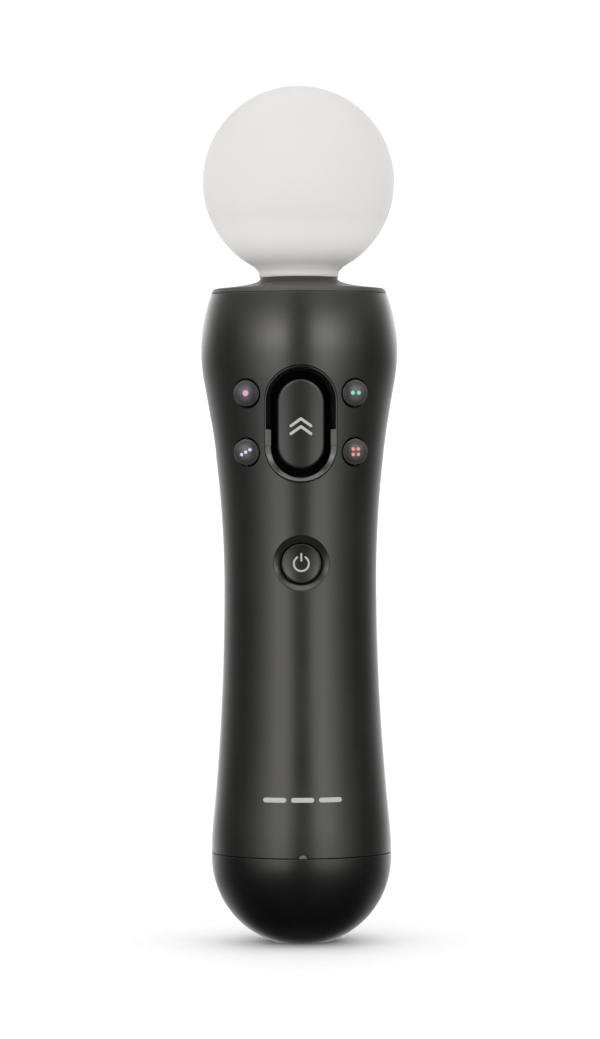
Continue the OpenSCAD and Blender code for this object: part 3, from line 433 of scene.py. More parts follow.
def boss(x, z, y_end, y_wall, hole):
    """Screw boss along Y from inside the casing to y_end."""
    a = circle(32)

    def ring(r, y):
        return np.c_[x + r * np.cos(a), np.full(len(a), y), z + r * np.sin(a)]

    return loft([ring(BOSS_R, y_wall), ring(BOSS_R, y_end), ring(hole, y_end), ring(hole, y_wall)])


def wall_y(x, z):
    """Depth at which a boss ends inside the casing's wall."""
    inside = 1.5
    return math.sqrt((float(body_r(z)) - inside) ** 2 - (abs(x) + BOSS_R) ** 2)


def below_skin(p):
    """Whether a point is on the wall of a hole in the casing, where shade is painted, and not on the
    home button's dish.
    """
    below, from_home = 0.3, math.hypot(p.x, p.z - HOME_Z)
    in_dish = p.y < 0 and HOME_R + HOME_GAP + 0.03 < from_home < DISH_R + below
    return math.hypot(p.x, p.y) < body_r(p.z) - below and not in_dish


def front_casing():
    rim_gap, rim_deep, rim_edge = 0.05, 6, 0.1
    hole, hole_deep = 2 * (ACTION_R + ACTION_GAP), -7
    notch, notch_deep, notch_edge = 1.9, 12, 0.08
    obj = mesh_object("front_casing", half_casing(-1))
    rim_shape = slot_outline(RIM_W, RIM_H, rim_gap)
    openings = [opening(Site(MAIN_Z, FRONT), rim_shape, rim_deep, rim_edge), home_dish()]
    for side in (-1, 1):
        openings.append(side_opening(side))
        for z in (ACTION_UPPER_Z, ACTION_LOWER_Z):
            shape = slot_outline(hole, hole, 0, 0.25)
            openings.append(opening(action_site(side, z), shape, hole_deep))
    notch_shape = slot_outline(notch, notch, 0, 0.15)
    openings.append(opening(Site(CAP_H, FRONT), notch_shape, notch_deep, notch_edge))
    cut(obj, joined(*openings))
    smooth(obj, skin=skin_normals)
    finish_piece(obj, "handle", "casing_plastic", "front_shell")
    # Painted shade on the walls of the casing's holes.
    paint_deep_shade(obj, below_skin)


def trigger_mouth():
    middle, half = (TRIGGER_LOW + TRIGGER_HIGH) / 2, (TRIGGER_HIGH - TRIGGER_LOW) / 2
    corner, deep, edge = 1.2, 8, 0.3
    shape = outline(TRIGGER_W / 2 + TRIGGER_GAP, half + TRIGGER_GAP, corner, 0.35)
    return opening(Site(middle, REAR), shape, deep, edge)


def rear_casing():
    obj = mesh_object("rear_casing", half_casing(1))
    openings = [side_opening(-1), side_opening(1), trigger_mouth()]
    openings += [head_hole(x, z) for x, z in SCREWS]
    cut(obj, joined(*openings))
    smooth(obj, skin=skin_normals)
    finish_piece(obj, "handle", "casing_plastic", "rear_shell")


def casing_bosses():
    """Screw bosses inside both casings, which end at each other behind the seam."""
    gap, parts = 0.1, []
    for x, z in SCREWS:
        parts.append(boss(x, z, BOSS_MEET, -wall_y(x, z), SCREW_CORE))
        parts.append(boss(x, z, BOSS_MEET + gap, BOSS_SEAT, SCREW_PASS))
        parts.append(boss(x, z, BOSS_SEAT, wall_y(x, z), SCREW_HEAD))
    piece("casing_screw_bosses", joined(*parts), CREASE, "handle", "casing_plastic")


# ---- ball and collar ----

BALL_R, BALL_Z, BALL_WALL = 22.4, 177.6, 1.6
NECK_R, COLLAR_TOP = 9.2, BODY_TOP + 3.9
SLEEVE_Z, SLEEVE_LIP = BODY_TOP - 3.6, 1.2
SLEEVE_R, SLEEVE_FOOT_R, SLEEVE_BORE_R = 8.2, 9.4, 6.6
# The neck's curve as (radius beyond NECK_R, height above COLLAR_TOP)
NECK_CURVE = [(-0.1, 0.03), (0, 0.12), (0.04, 0.6), (0.14, 1.3), (0.38, 1.7), (0.75, 1.95)]
# The collar as heights above BODY_TOP: first its edge as (radius beyond the edge, height), then
# its top, bore and underside as (radius, height)
COLLAR_EDGE = [(-0.1, 0), (-0.03, 0.03), (0, 0.1), (-0.14, 0.5), (-0.33, 0.92), (-0.42, 1.06),
               (-0.56, 1.17), (-0.8, 1.25), (-2.2, 1.38)]
COLLAR_REST = [(15.5, 1.7), (13, 2.1), (11.6, 2.4), (10.6, 2.66), (9.9, 2.9), (9.55, 3.08),
               (9.28, 3.3), (9.12, 3.5), (9.04, 3.72), (8.98, 3.84), (8.88, 3.9), (8.25, 3.9),
               (8.25, -2.2), (16.9, -2.2), (16.9, -3.4), (18.35, -3.4), (18.35, 0)]


def ball_arc(r, start, stop, count):
    """Points of (radius, height) on a ball about the light ball's centre."""
    return [(r * math.cos(a), BALL_Z + r * math.sin(a)) for a in np.linspace(start, stop, count)]


def light_ball():
    """Hollow soft ball, with a neck that runs into it in a small curve."""
    low, lining_low, lip = -1.09, -1.23, SLEEVE_Z + SLEEVE_LIP
    neck = [(NECK_R + r, COLLAR_TOP + z) for r, z in NECK_CURVE]
    ball = [p for p in ball_arc(BALL_R, low, PI / 2, 110)
            if p[0] > neck[-1][0] + 0.3 or p[1] > BALL_Z]
    profile = [(SLEEVE_BORE_R, SLEEVE_Z), (SLEEVE_R - 0.01, SLEEVE_Z), (SLEEVE_FOOT_R, SLEEVE_Z),
               (SLEEVE_FOOT_R, lip), (SLEEVE_R, lip), (SLEEVE_R, COLLAR_TOP + 0.02)]
    profile += neck + ball + ball_arc(BALL_R - BALL_WALL, PI / 2, lining_low, 60)
    part = turned(profile + [(SLEEVE_BORE_R, COLLAR_TOP + 1)], 160)
    piece("light_ball_soft", part, SOFT_CREASE, "handle", "soft_ball", "light_ball")


def top_collar():
    """Collar under the ball, with its edge rounded over and a fine step below the neck."""
    inset = 0.25
    edge = float(body_r(BODY_TOP)) - inset
    profile = [(edge + r, BODY_TOP + z) for r, z in COLLAR_EDGE]
    profile += [(r, BODY_TOP + z) for r, z in COLLAR_REST]
    piece("top_collar_moulded", turned(profile, 160), SOFT_CREASE, "handle", "collar_plastic",
          "top_collar")


# ---- bottom cap ----

DOME_R, DOME_Z = 21.0, 20.0
EYELET_Y, EYELET_Z, EYELET_R, EYELET_POCKET_R, EYELET_HALF = 13.0, 6.2, 1.5, 2.6, 3.0
PORTS = [(-3.3, 8.0, 4.2, 0.6), (3.4, 12.3, 4.3, 0.3)]          # y, width, thickness, corner
CONTACT_X, CONTACT_R = 10.5, 1.55


def cap_profile():
    """Closed (radius, height) profile of the cap: foot, dome, band, edge, lip and lining."""
    flat, top, inner = math.sqrt(DOME_R ** 2 - DOME_Z ** 2), CAP_H - SEAM, DOME_R - WALL - 0.1
    lip_out, lip_in, lip_top, lining_z = 18.6, 17.3, CAP_H + 3, 18

    def arc(r, start, stop, count):
        return [(r * math.sin(a), DOME_Z - r * math.cos(a)) for a in np.linspace(start, stop, count)]

    dome = arc(DOME_R, math.asin(flat / DOME_R) + 0.03, PI / 2, 60)
    foot = [(flat * k, 0) for k in (0.5, 0.9)] + [(flat - 0.25, 0.004), (flat + 0.15, 0.03)]
    band = [(DOME_R, z) for z in np.linspace(DOME_Z + 0.1, top - EDGE, 6)]
    edge = [(DOME_R - float(rounding(EDGE * (1 - k))), top - EDGE * (1 - k))
            for k in (0.3, 0.58, 0.8, 0.94, 1)]
    lip = [(lip_out, top), (lip_out, lip_top), (lip_in, lip_top), (lip_in, lining_z)]
    lining = arc(inner, math.acos((DOME_Z - lining_z) / inner),
                 math.asin(math.sqrt(inner ** 2 - (DOME_Z - WALL) ** 2) / inner), 40)
    floor = [(lining[-1][0] * k, WALL) for k in (0.5, 0)]
    return [(0, 0)] + foot + dome + band + edge + lip + lining + floor


def rod_x(r, x0, x1):
    """Solid rod along X through the eyelet's centre."""
    a = circle(40)
    y, z = EYELET_Y + r * np.cos(a), EYELET_Z + r * np.sin(a)
    return stack([np.c_[np.full(len(a), x), y, z] for x in (x0, x1)])


def eyelet_web():
    """Solid web around the eyelet, which stops short of the dome's outer face."""
    a, web_r, short, most = circle(40), 3.7, 1, 10
    y, z = EYELET_Y + web_r * np.cos(a), EYELET_Z + web_r * np.sin(a)
    reach = np.sqrt(np.maximum((DOME_R - short) ** 2 - y ** 2 - (z - DOME_Z) ** 2, 0.01))
    reach = np.minimum(reach, most)
    return stack([np.c_[-reach, y, z], np.c_[reach, y, z]])


def upright(shape, x, y, z0, z1, lip=0.0):
    """Upright cutter with an outline, flared by lip at its lower end."""
    def ring(by, z):
        u, v = offset(shape, by)
        return np.c_[x + u, y + v, np.full(len(u), z)]
    return stack([ring(lip, z0), ring(lip, lip * 0.5), ring(0, lip * 1.6), ring(0, z1)])


def bottom_cap():
    beyond, below, port_top, contact_top, flare, crease = 22, -1, WALL + 3, 6, 0.14, 34
    obj = mesh_object("bottom_cap_moulded", turned(cap_profile(), 144))
    cut(obj, eyelet_web(), "UNION")
    holes = [rod_x(EYELET_POCKET_R, side * EYELET_HALF, side * beyond) for side in (-1, 1)]
    for y, width, thick, corner in PORTS:
        shape = outline(width / 2, thick / 2, corner, 0.3)
        holes.append(upright(shape, 0, y, below, port_top, flare))
    for side in (-1, 1):
        shape = slot_outline(2 * CONTACT_R, 2 * CONTACT_R, 0, 0.2)
        holes.append(upright(shape, side * CONTACT_X, 0, below, contact_top))
    cut(obj, joined(*holes))
    cut(obj, rod_x(EYELET_R, -EYELET_HALF - 1, EYELET_HALF + 1))
    smooth(obj, crease)
    finish_piece(obj, "handle", "cap_plastic", "bottom_cap")


# ---- buttons ----

def slot_rings(site, half_w, half_h, top, inset, f, step=0.4):
    """Rings from a button's rim inwards over its top, which follows top(u, v)."""
    shape = outline(half_w, half_h, half_w, step)
    rings = []
    for by in list(f * EASE) + list(np.linspace(f, half_w, inset)[1:]):
        u, v = offset(shape, -by)
        rings.append(site.place(u, v, top(u, v) - rounding(by, f)))
    return shape, rings


def main_button():
    """Oval button whose top follows the handle's skin a little below it."""
    site, sunk, edge = Site(MAIN_Z, FRONT), MAIN_SUNK, 0.5
    wider, taller, flange_w, stem_r, stem_w = 5, 5.4, (12.55, 13.35), 2.4, (11.4, 12.6)
    below_flange, shade_from = 0.85, 1.2
    shape, top = slot_rings(site, MAIN_W / 2, MAIN_H / 2,
                            lambda u, v: site.skin(u, v, sunk), 12, edge)
    flange = offset(slot_outline(MAIN_W + wider, MAIN_H + taller), 0)
    parts = joined(stack([site.place(*offset(shape, 0), RIM_BACK - below_flange)] + top, True),
                   stack([site.place(*flange, w) for w in flange_w]),
                   turned_button(site, [(stem_r, w) for w in stem_w], 40))
    obj = piece("main_button_cap", parts, SOFT_CREASE, "main_button", "main_button_plastic",
                "main_button")
    # Painted shade on the button's sides, deep below the skin.
    paint_deep_shade(obj, lambda p: -p.y < site.skin(p.x, p.z - MAIN_Z) - shade_from)


# Where the thumb lands start and end, as shares of the straight side, and the drops to the well
LAND_HIGH, LAND_LOW, RIM_STRAIGHT = -0.24, -0.94, 5.0
RIM_DEEP, RIM_SHALLOW, RIM_LAND = 2.9, 0.85, 0.25


def rim_stops():
    """Round the rim: angle, place along the straight side from 1 to -1, and drop to the well."""
    def ease(t):
        return t * t * (3 - 2 * t)

    def drop(way):
        step = 0.014
        high = np.clip((way - LAND_HIGH) / step, 0, 1)
        low = np.clip((LAND_LOW - way) / step, 0, 1)
        return RIM_LAND + ease(high) * (RIM_DEEP - RIM_LAND) + ease(low) * (RIM_SHALLOW - RIM_LAND)

    edge = np.array([-0.02, -0.012, 0, 0.003, 0.007, 0.011, 0.014, 0.026, 0.034])
    ways = np.concatenate([[0.6, 0.3, 0.0], LAND_HIGH + edge[::-1], [-0.45, -0.6, -0.75],
                           LAND_LOW - edge])
    down = [(PI, w, drop(w)) for w in ways]
    up = [(0.0, w, drop(w)) for w in ways[::-1]]
    n = 56
    top = [(PI * i / n, 1.0, RIM_DEEP) for i in range(n + 1)]
    low = [(PI + PI * i / n, -1.0, RIM_SHALLOW) for i in range(n + 1)]
    return np.array(top + down + low + up)


def rim():
    """Polished rim around the well, steep above the thumb lands at its sides, shallow below."""
    site, below, flat, crease = Site(MAIN_Z, FRONT), 0.05, 0.18, 32
    angle, way, drop = rim_stops().T
    well_straight, well_r = (WELL_H - WELL_W) / 2, WELL_W / 2 + 0.02

    def loop(share, by=0.0):
        """Points between the outer outline (0) and the well's (1), moved inwards by by."""
        r = RIM_W / 2 + (WELL_W / 2 - RIM_W / 2) * share - by
        straight = RIM_STRAIGHT + (well_straight - RIM_STRAIGHT) * share
        return r * np.cos(angle), straight * way + r * np.sin(angle)

    def level(u, v, d):
        return site.place(u, v, site.skin(u, v) - below - d)

    u, v = loop(0)
    rings = [site.place(u, v, RIM_BACK)]
    lip = ((0, 0.12), (0.02, 0.05), (0.06, 0.015), (0.1, 0.01), (0.26, 0.04))
    rings += [level(*loop(0, by), d) for by, d in lip]
    for share in (0.21, 0.26, 0.36, 0.52, 0.7, 0.86, 0.96):
        slope = (share - flat) / (1 - flat)
        rings.append(level(*loop(share), drop * slope + 0.045))
    u, v = loop(1)
    foot = np.maximum(site.skin(u, v) - below - drop - 0.09, RIM_BACK + 0.2)
    rings += [site.place(u, v, foot), site.place(u, v, RIM_BACK)]
    obj = piece("main_button_polished_rim", loft(rings), crease, "handle", "rim_plastic",
                "main_button_rim")
    # Painted shade on the rim's faces inside the well's outline.
    paint_deep_shade(obj, lambda p: abs(p.x) < well_r
           and math.hypot(p.x, max(0, abs(p.z - MAIN_Z) - well_straight)) < well_r)


def turned_button(site, profile, steps):
    """Solid turned about a site's outward axis from (radius, height) pairs, foot first."""
    a = circle(steps)
    return stack([site.place(r * np.cos(a), r * np.sin(a), w) for r, w in profile])


def crown(r, top, bend, f, hollow=False):
    """Profile of a button's top: a rounded edge, then a crown or a finger hollow."""
    way = 1 if hollow else -1

    def sag(x):
        return way * (bend - math.sqrt(bend * bend - x * x))

    out = [(r - f + f * math.cos(a), top + sag(r - f) - f + f * math.sin(a))
           for a in np.linspace(0, PI / 2, 8)]
    return out + [(x, top + sag(x)) for x in np.linspace(r - f, 0.02, 18)[1:]]


def home_button():
    site, flange_r, edge = Site(HOME_Z, FRONT), HOME_R + 1, 0.22
    stem_r, stem_foot, back, front = 2.0, 11.4, 11.86, 12.66
    profile = [(stem_r, stem_foot), (stem_r, back), (flange_r, back), (flange_r, front),
               (HOME_R, front)] + crown(HOME_R, HOME_TOP, HOME_HOLLOW, edge, hollow=True)
    piece("home_button_cap", turned_button(site, profile, 96), SOFT_CREASE, "home_button",
          "button_plastic", "home_button", finish="home_plastic")


def action_button(name, side, z):
    site = action_site(side, z)
    stem_r, stem_y, shortest, foot, edge = 1.2, 11.4, 3.9, -2.9, 0.32
    ear_u, ear_v, ear_w, shade_below = 0.7, 4.15, (-3.9, -3.3), -0.1
    stem = max(-(stem_y + site.at[1]) / math.cos(ACTION_TILT), shortest)
    profile = [(stem_r, -stem), (stem_r, foot), (ACTION_R, foot)]
    profile += crown(ACTION_R, ACTION_PROUD, ACTION_CROWN, edge)
    u, v = np.array([(-ear_u, -ear_v), (ear_u, -ear_v), (ear_u, ear_v), (-ear_u, ear_v)]).T
    parts = joined(turned_button(site, profile, 72), stack([site.place(u, v, w) for w in ear_w]))
    obj = piece(f"action_{name}_cap", parts, SOFT_CREASE, f"{name}_button", "button_plastic",
                f"action_button_{name}")
    # Painted shade on the button's sides below its face.
    paint_deep_shade(obj, lambda p: np.dot(np.array(p[:2]) - site.at, site.w) < shade_below)


def side_button(name, side):
    site, below, scoop, edge = Site(SIDE_Z, (side, 0)), 0.1, 0.3, 0.3
    foot, wider, flange_w, stem_r, stem_w = 16.6, 0.5, (16.0, 16.8), 1.6, (14.8, 16.2)

    def top(u, v):
        return site.skin(u, v) - below - scoop * (1 - (2 * v / SIDE_H) ** 2)

    shape, rings = slot_rings(site, SIDE_W / 2, SIDE_H / 2, top, 7, edge, 0.25)
    flange = offset(slot_outline(SIDE_W, SIDE_H, wider, 0.3), 0)
    parts = joined(stack([site.place(*offset(shape, 0), foot)] + rings, True),
                   stack([site.place(*flange, w) for w in flange_w]),
                   turned_button(site, [(stem_r, w) for w in stem_w], 32))
    piece(f"{name}_cap", parts, SOFT_CREASE, f"{name}_button", "button_plastic", f"{name}_button")


# ---- trigger ----

FINGER_Y, FINGER_Z, FINGER_R = 42.8, 119.0, 22.0
TRIGGER_BACK, TRIGGER_MOST = 15.5, 24.3
TRIGGER_FREE = 130.0            # below this height the trigger stands out of the handle's round
TRIGGER_EDGE, TRIGGER_CREASE = 0.45, 40
HUB_X, HUB_R, PIN_R = 3.4, 3.0, 1.05


def smallest(a, b, k):
    """The smaller of two distances, with a rounding of about k where they cross."""
    h = np.maximum(k - np.abs(a - b), 0) / k
    return np.minimum(a, b) - h * h * k / 4


def trigger_face(x, z):
    """How far back the trigger's face is at (x, z)."""
    blend, skin_blend, proud, leave = 0.9, 0.6, 0.4, 0.15
    crown_y, crown_out, crown_half = 10.3, 13.92, 12
    y = np.full_like(x, TRIGGER_MOST)
    swing = PIVOT_Y + np.sqrt(np.maximum(REACH ** 2 - (z - PIVOT_Z) ** 2, 0))
    hollow = FINGER_Y - np.sqrt(np.maximum(FINGER_R ** 2 - (z - FINGER_Z) ** 2, 0))
    crowned = crown_y + crown_out * np.sqrt(1 - (x / crown_half) ** 2)
    for face in (swing, hollow, crowned):
        y = smallest(y, face, blend)
    skin = np.sqrt((body_r(z) + proud) ** 2 - x ** 2)
    y = smallest(y, skin + leave * np.maximum(TRIGGER_FREE - z, 0) ** 2, skin_blend)
    side = TRIGGER_W / 2 - np.abs(x)
    return y - rounding(side, TRIGGER_EDGE) - rounding(TRIGGER_HIGH - z, TRIGGER_EDGE)


def trigger_shell():
    """The trigger's sculpted face in front of a flat back."""
    half, back = TRIGGER_W / 2, TRIGGER_BACK
    close = TRIGGER_EDGE * np.array([0, 0.05, 0.15, 0.3, 0.5, 0.75, 1])
    x = eased(-half, half, close, 41)
    low = PIVOT_Z - math.sqrt(REACH ** 2 - (back - PIVOT_Y) ** 2) + 0.02
    z = np.concatenate([low + np.array([0, 0.01, 0.03, 0.06, 0.1, 0.16, 0.24, 0.34, 0.46]),
                        np.linspace(low + 0.6, low + 3, 14),
                        np.linspace(low + 3.3, TRIGGER_HIGH - TRIGGER_EDGE, 84),
                        TRIGGER_HIGH - close[:-1][::-1]])
    across, up = np.meshgrid(x, z)
    face = np.stack([across, np.maximum(trigger_face(across, up), back + 0.01), up], -1)
    rear = np.stack([across, np.full_like(across, back), up], -1)
    return slab([np.vstack([b, f[::-1]]) for b, f in zip(rear, face)], flip=True)


def trigger():
    """Finger trigger: the shell, a hub on the pivot's pin at either side, and a plunger."""
    half, a, parts = TRIGGER_W / 2, circle(48), [trigger_shell()]
    web_y, web_z, plunger_y, plunger_z = (14.2, 15.8), (130.0, 136.0), (10.06, 15.8), (110.0, 114.0)
    for x0, x1 in ((-half, -HUB_X), (HUB_X, half)):
        parts.append(loft([np.c_[np.full(len(a), x), PIVOT_Y + r * np.cos(a), PIVOT_Z + r * np.sin(a)]
                           for x, r in ((x0, PIN_R), (x0, HUB_R), (x1, HUB_R), (x1, PIN_R))]))
        parts.append(block((x0, x1), web_y, web_z))
    parts.append(block((-half, half), plunger_y, plunger_z))
    piece("trigger_sculpted", joined(*parts), TRIGGER_CREASE, "trigger", "trigger_plastic",
          "trigger")


def block(x, y, z):
    """Closed box between two corners."""
    ring = [(x[0], y[0]), (x[1], y[0]), (x[1], y[1]), (x[0], y[1])]
    return stack([[(px, py, pz) for px, py in ring] for pz in z])


# ---- printed marks ----

MARK_T = 0.03                   # how far a mark stands above the surface it's printed on
MARK_CREASE = 60
PRINT_Z = 34.45
# Side, height, radius of a dot and places of the dots for each action button
ACTION_DOTS = {
    "upper_left": (-1, ACTION_UPPER_Z, 0.7, [(0, 0)]),
    "upper_right": (1, ACTION_UPPER_Z, 0.46, [(-0.72, 0), (0.72, 0)]),
    "lower_left": (-1, ACTION_LOWER_Z, 0.4, [(-1.0, -0.55), (0, 0), (1.0, 0.55)]),
    "lower_right": (1, ACTION_LOWER_Z, 0.4, [(-0.62, -0.62), (0.62, -0.62), (-0.62, 0.62),
                                             (0.62, 0.62)]),
}


def printed(site, top, strokes, lift=0.012):
    """Thin raised print: each stroke is a closed outline of (u, v) points, drawn on top(u, v)."""
    parts = []
    for stroke in strokes:
        p = np.array(stroke, float)
        middle = p.mean(0)
        inner = middle + (p - middle) * 0.9
        rings = [(p, -0.05), (p, lift), (inner, MARK_T), (middle + (p - middle) * 0.45, MARK_T)]
        parts.append(stack([site.place(q[:, 0], q[:, 1], top(q[:, 0], q[:, 1]) + h)
                            for q, h in rings]))
    return joined(*parts)


def disc(u, v, r, steps=28):
    a = circle(steps)
    return np.c_[u + r * np.cos(a), v + r * np.sin(a)]


def bar(a, b, r, steps=8):
    """Outline of a round-ended bar from a to b."""
    a, b = np.array(a, float), np.array(b, float)
    turn = math.atan2(*(b - a)[::-1])
    ends = []
    for at, start in ((b, turn - PI / 2), (a, turn + PI / 2)):
        ends += [at + r * np.array([math.cos(t), math.sin(t)])
                 for t in np.linspace(start, start + PI, steps)]
    side = [a + (b - a) * k for k in np.linspace(0, 1, 7)[1:-1]]
    normal = r * np.array([-math.sin(turn), math.cos(turn)])
    return np.array(ends[:steps] + [s + normal for s in side[::-1]] + ends[steps:]
                    + [s - normal for s in side])


def ring_bars(r, width, start, stop, pieces=12):
    """Short overlapping bars along an arc, which together draw it."""
    a = np.linspace(start, stop, pieces + 1)
    p = np.c_[r * np.cos(a), r * np.sin(a)]
    return [bar(p[i], p[i + 1], width / 2) for i in range(pieces)]


def crown_top(u, v):
    """How far out an action button's face is."""
    return ACTION_PROUD - ACTION_CROWN + np.sqrt(ACTION_CROWN ** 2 - u * u - v * v)


def home_face(u, v):
    """How far out the home button's hollow face is."""
    return HOME_TOP + HOME_HOLLOW - np.sqrt(HOME_HOLLOW ** 2 - u * u - v * v)


def marks():
    """Plain generic marks: dots on the action buttons, a power sign on the home button, two
    chevrons on the main button and three bars low on the front."""
    def add(name, body, site, top, strokes, finish="grey_ink"):
        piece(name, printed(site, top, strokes), MARK_CREASE, body, "white_plastic", finish=finish)

    for name, (side, z, r, dots) in ACTION_DOTS.items():
        add(f"{name}_dots", f"{name}_button", action_site(side, z), crown_top,
            [disc(u, v, r) for u, v in dots], f"{name}_ink")
    sign = ring_bars(1.75, 0.42, math.radians(122), math.radians(418))
    sign.append(bar((0, 0.7), (0, 2.25), 0.21))
    add("home_power_sign", "home_button", Site(HOME_Z, FRONT), home_face, sign)
    site, out, down, up, thick = Site(MAIN_Z, FRONT), 2.3, 0.9, 0.75, 0.32
    chevrons = [bar((side * out, v - down), (0, v + up), thick)
                for v in (-1.35, 0.45) for side in (-1, 1)]
    add("main_button_chevrons", "main_button", site,
        lambda u, v: site.skin(u, v, MAIN_SUNK), chevrons)
    low, half, apart, thick = Site(PRINT_Z, FRONT), 2.1, 6.4, 0.55
    bars = [bar((u - half, 0), (u + half, 0), thick) for u in (-apart, 0, apart)]
    add("front_print_bars", "handle", low, low.skin, bars)


# ---- materials ----

class Nodes:
    """A material's node tree, with short calls for what the materials here need."""

    def __init__(self, name):
        MATERIALS[name] = material = bpy.data.materials.new(name)
        material.use_nodes = True
        self.tree = material.node_tree
        self.where = self.new("TexCoord").outputs["Object"]

    def new(self, kind, **sockets):
        """A node with its sockets filled."""
        node = self.tree.nodes.new("ShaderNode" + kind)
        self.fill(node, sockets)
        return node

    def fill(self, node, sockets):
        """Links or sets a node's sockets, named with _ for a space."""
        for key, value in sockets.items():
            socket = node.inputs[key.replace("_", " ")]
            if isinstance(value, bpy.types.NodeSocket):
                self.tree.links.new(value, socket)
            else:
                socket.default_value = value

    def set(self, **sockets):
        """Fills the shader's sockets."""
        self.fill(self.tree.nodes["Principled BSDF"], sockets)

    def axes(self):
        """X, Y and Z of the place, as sockets by name."""
        return self.new("SeparateXYZ", Vector=self.where).outputs

    def noise(self, scale, detail, stretch=None):
        where = self.where
        if stretch:
            where = self.new("Mapping", Scale=stretch, Vector=where).outputs["Vector"]
        return self.new("TexNoise", Scale=scale, Detail=detail, Vector=where).outputs["Fac"]

    def ramp(self, value, low, high, span=(0.3, 0.7)):
        """A value spread between two numbers."""
        return self.new("MapRange", From_Min=span[0], From_Max=span[1], To_Min=low, To_Max=high,
                        Value=value).outputs["Result"]

    def tint(self, value, low, high, span=(0.3, 0.7)):
        """A value turned into a colour between two."""
        node = self.new("ValToRGB", Fac=value)
        for point, place, colour in zip(node.color_ramp.elements, span, (low, high)):
            point.position, point.color = place, (*colour, 1)
        return node.outputs["Color"]

    def curve(self, value, stops):
        """A number read off a smooth curve through (place, number) stops, all from 0 to 1."""
        node = self.new("ValToRGB", Fac=value)
        node.color_ramp.interpolation = "EASE"
        points = node.color_ramp.elements
        while len(points) < len(stops):
            points.new(1.0)
        for point, (place, number) in zip(points, stops):
            point.position, point.color = place, (number, number, number, 1)
        return node.outputs["Color"]

    def maths(self, operation, a, b=None):
        """One sum on sockets and numbers."""
        node = self.new("Math")
        node.operation = operation
        for socket, value in zip(node.inputs, (a, b)):
            if isinstance(value, bpy.types.NodeSocket):
                self.tree.links.new(value, socket)
            elif value is not None:
                socket.default_value = value
        return node.outputs["Value"]

    def bump(self, value, height):
        return self.new("Bump", Strength=1.0, Distance=height, Height=value).outputs["Normal"]


def mix(colour, share):
    return tuple(min(1.0, c * share) for c in colour)


def moulded(name, colour, rough, grain=5200, height=0.000004, specular=0.5, coat=0.0, spread=0.12):
    """Moulded plastic: a fine spark-eroded grain, and a slow unevenness in tone and gloss."""
    n = Nodes(name)
    slow, fine = n.noise(60, 3), n.noise(grain, 3)
    n.set(Base_Color=n.tint(slow, mix(colour, 1 - spread), mix(colour, 1 + spread)),
          Roughness=n.ramp(slow, rough - 0.03, rough + 0.03), Normal=n.bump(fine, height),
          Specular_IOR_Level=specular, Specular_Tint=(1, 0.99, 0.955, 1),
          Coat_Weight=coat, Coat_Roughness=0.08)


def soft_ball():
    """Milky translucent silicone with a faint cloudiness and a silky surface; its base colour is
    painted paler and warmer towards the neck, painted light that lifts the shade under the ball near
    the collar.
    """
    n = Nodes("soft_ball")
    cloud, fine = n.noise(35, 4), n.noise(3000, 3)
    # Painted light: below about 0.16 m up, towards the neck, the base colour turns much paler and
    # warmer, to lift the shade that falls under the ball near the collar.
    height = n.ramp(n.axes()["Z"], 0.0, 1.0, (0.155, 0.169))
    clouded = n.tint(cloud, (0.59, 0.577, 0.56), (0.61, 0.597, 0.58))
    blend = n.new("Mix")
    blend.data_type = "RGBA"
    n.fill(blend, {"A": (0.87, 0.832, 0.78, 1), "B": clouded, "Factor": height})
    n.set(Base_Color=blend.outputs["Result"], Roughness=n.ramp(cloud, 0.5, 0.6),
          Normal=n.bump(fine, 0.000006), Subsurface_Weight=0.55,
          Subsurface_Radius=(1.0, 0.97, 0.94), Subsurface_Scale=0.006,
          Specular_IOR_Level=0.06)


def metal(name, colour, rough, stretch=(1, 1, 1), scale=4000, height=0.000003):
    """Metal with brush marks drawn out along one axis."""
    n = Nodes(name)
    brush, slow = n.noise(scale, 3, stretch), n.noise(90, 3)
    n.set(Base_Color=n.tint(slow, mix(colour, 0.88), mix(colour, 1.05)), Metallic=1.0,
          Roughness=n.ramp(brush, rough - 0.07, rough + 0.09),
          Normal=n.bump(brush, height))


def circuit_board():
    """Green solder mask over a grid of tracks, with a soft gloss."""
    n = Nodes("circuit_board")
    tracks = n.new("TexBrick", Scale=260, Mortar_Size=0.06, Color1=(0.012, 0.12, 0.045, 1),
                   Color2=(0.01, 0.10, 0.04, 1), Mortar=(0.03, 0.21, 0.07, 1), Vector=n.where)
    weave = n.noise(2500, 2)
    n.set(Base_Color=tracks.outputs["Color"], Roughness=n.ramp(weave, 0.3, 0.42),
          Normal=n.bump(tracks.outputs["Fac"], 0.00002))


def wrapped_battery():
    """Shrink film around the battery can, with fine creases."""
    n = Nodes("battery_can")
    crease, slow = n.noise(300, 5, (1, 1, 4)), n.noise(50, 2)
    n.set(Base_Color=n.tint(slow, (0.03, 0.06, 0.15), (0.045, 0.085, 0.2)),
          Roughness=n.ramp(crease, 0.22, 0.4), Normal=n.bump(crease, 0.00004))


def lens(name, scale, colours, roughs, **more):
    """Smooth clear or smoked plastic, a little uneven in tone and gloss."""
    n = Nodes(name)
    slow, fine = n.noise(scale, 3), n.noise(4000, 2)
    n.set(Base_Color=n.tint(slow, *colours), Roughness=n.ramp(slow, *roughs),
          Normal=n.bump(fine, 0.000002), **more)


def ink(name, colour):
    """Screen-printed ink, slightly grainy and matt."""
    n = Nodes(name)
    grain = n.noise(5000, 3)
    n.set(Base_Color=n.tint(grain, mix(colour, 0.9), mix(colour, 1.06)),
          Roughness=n.ramp(grain, 0.45, 0.62), Normal=n.bump(grain, 0.000004))


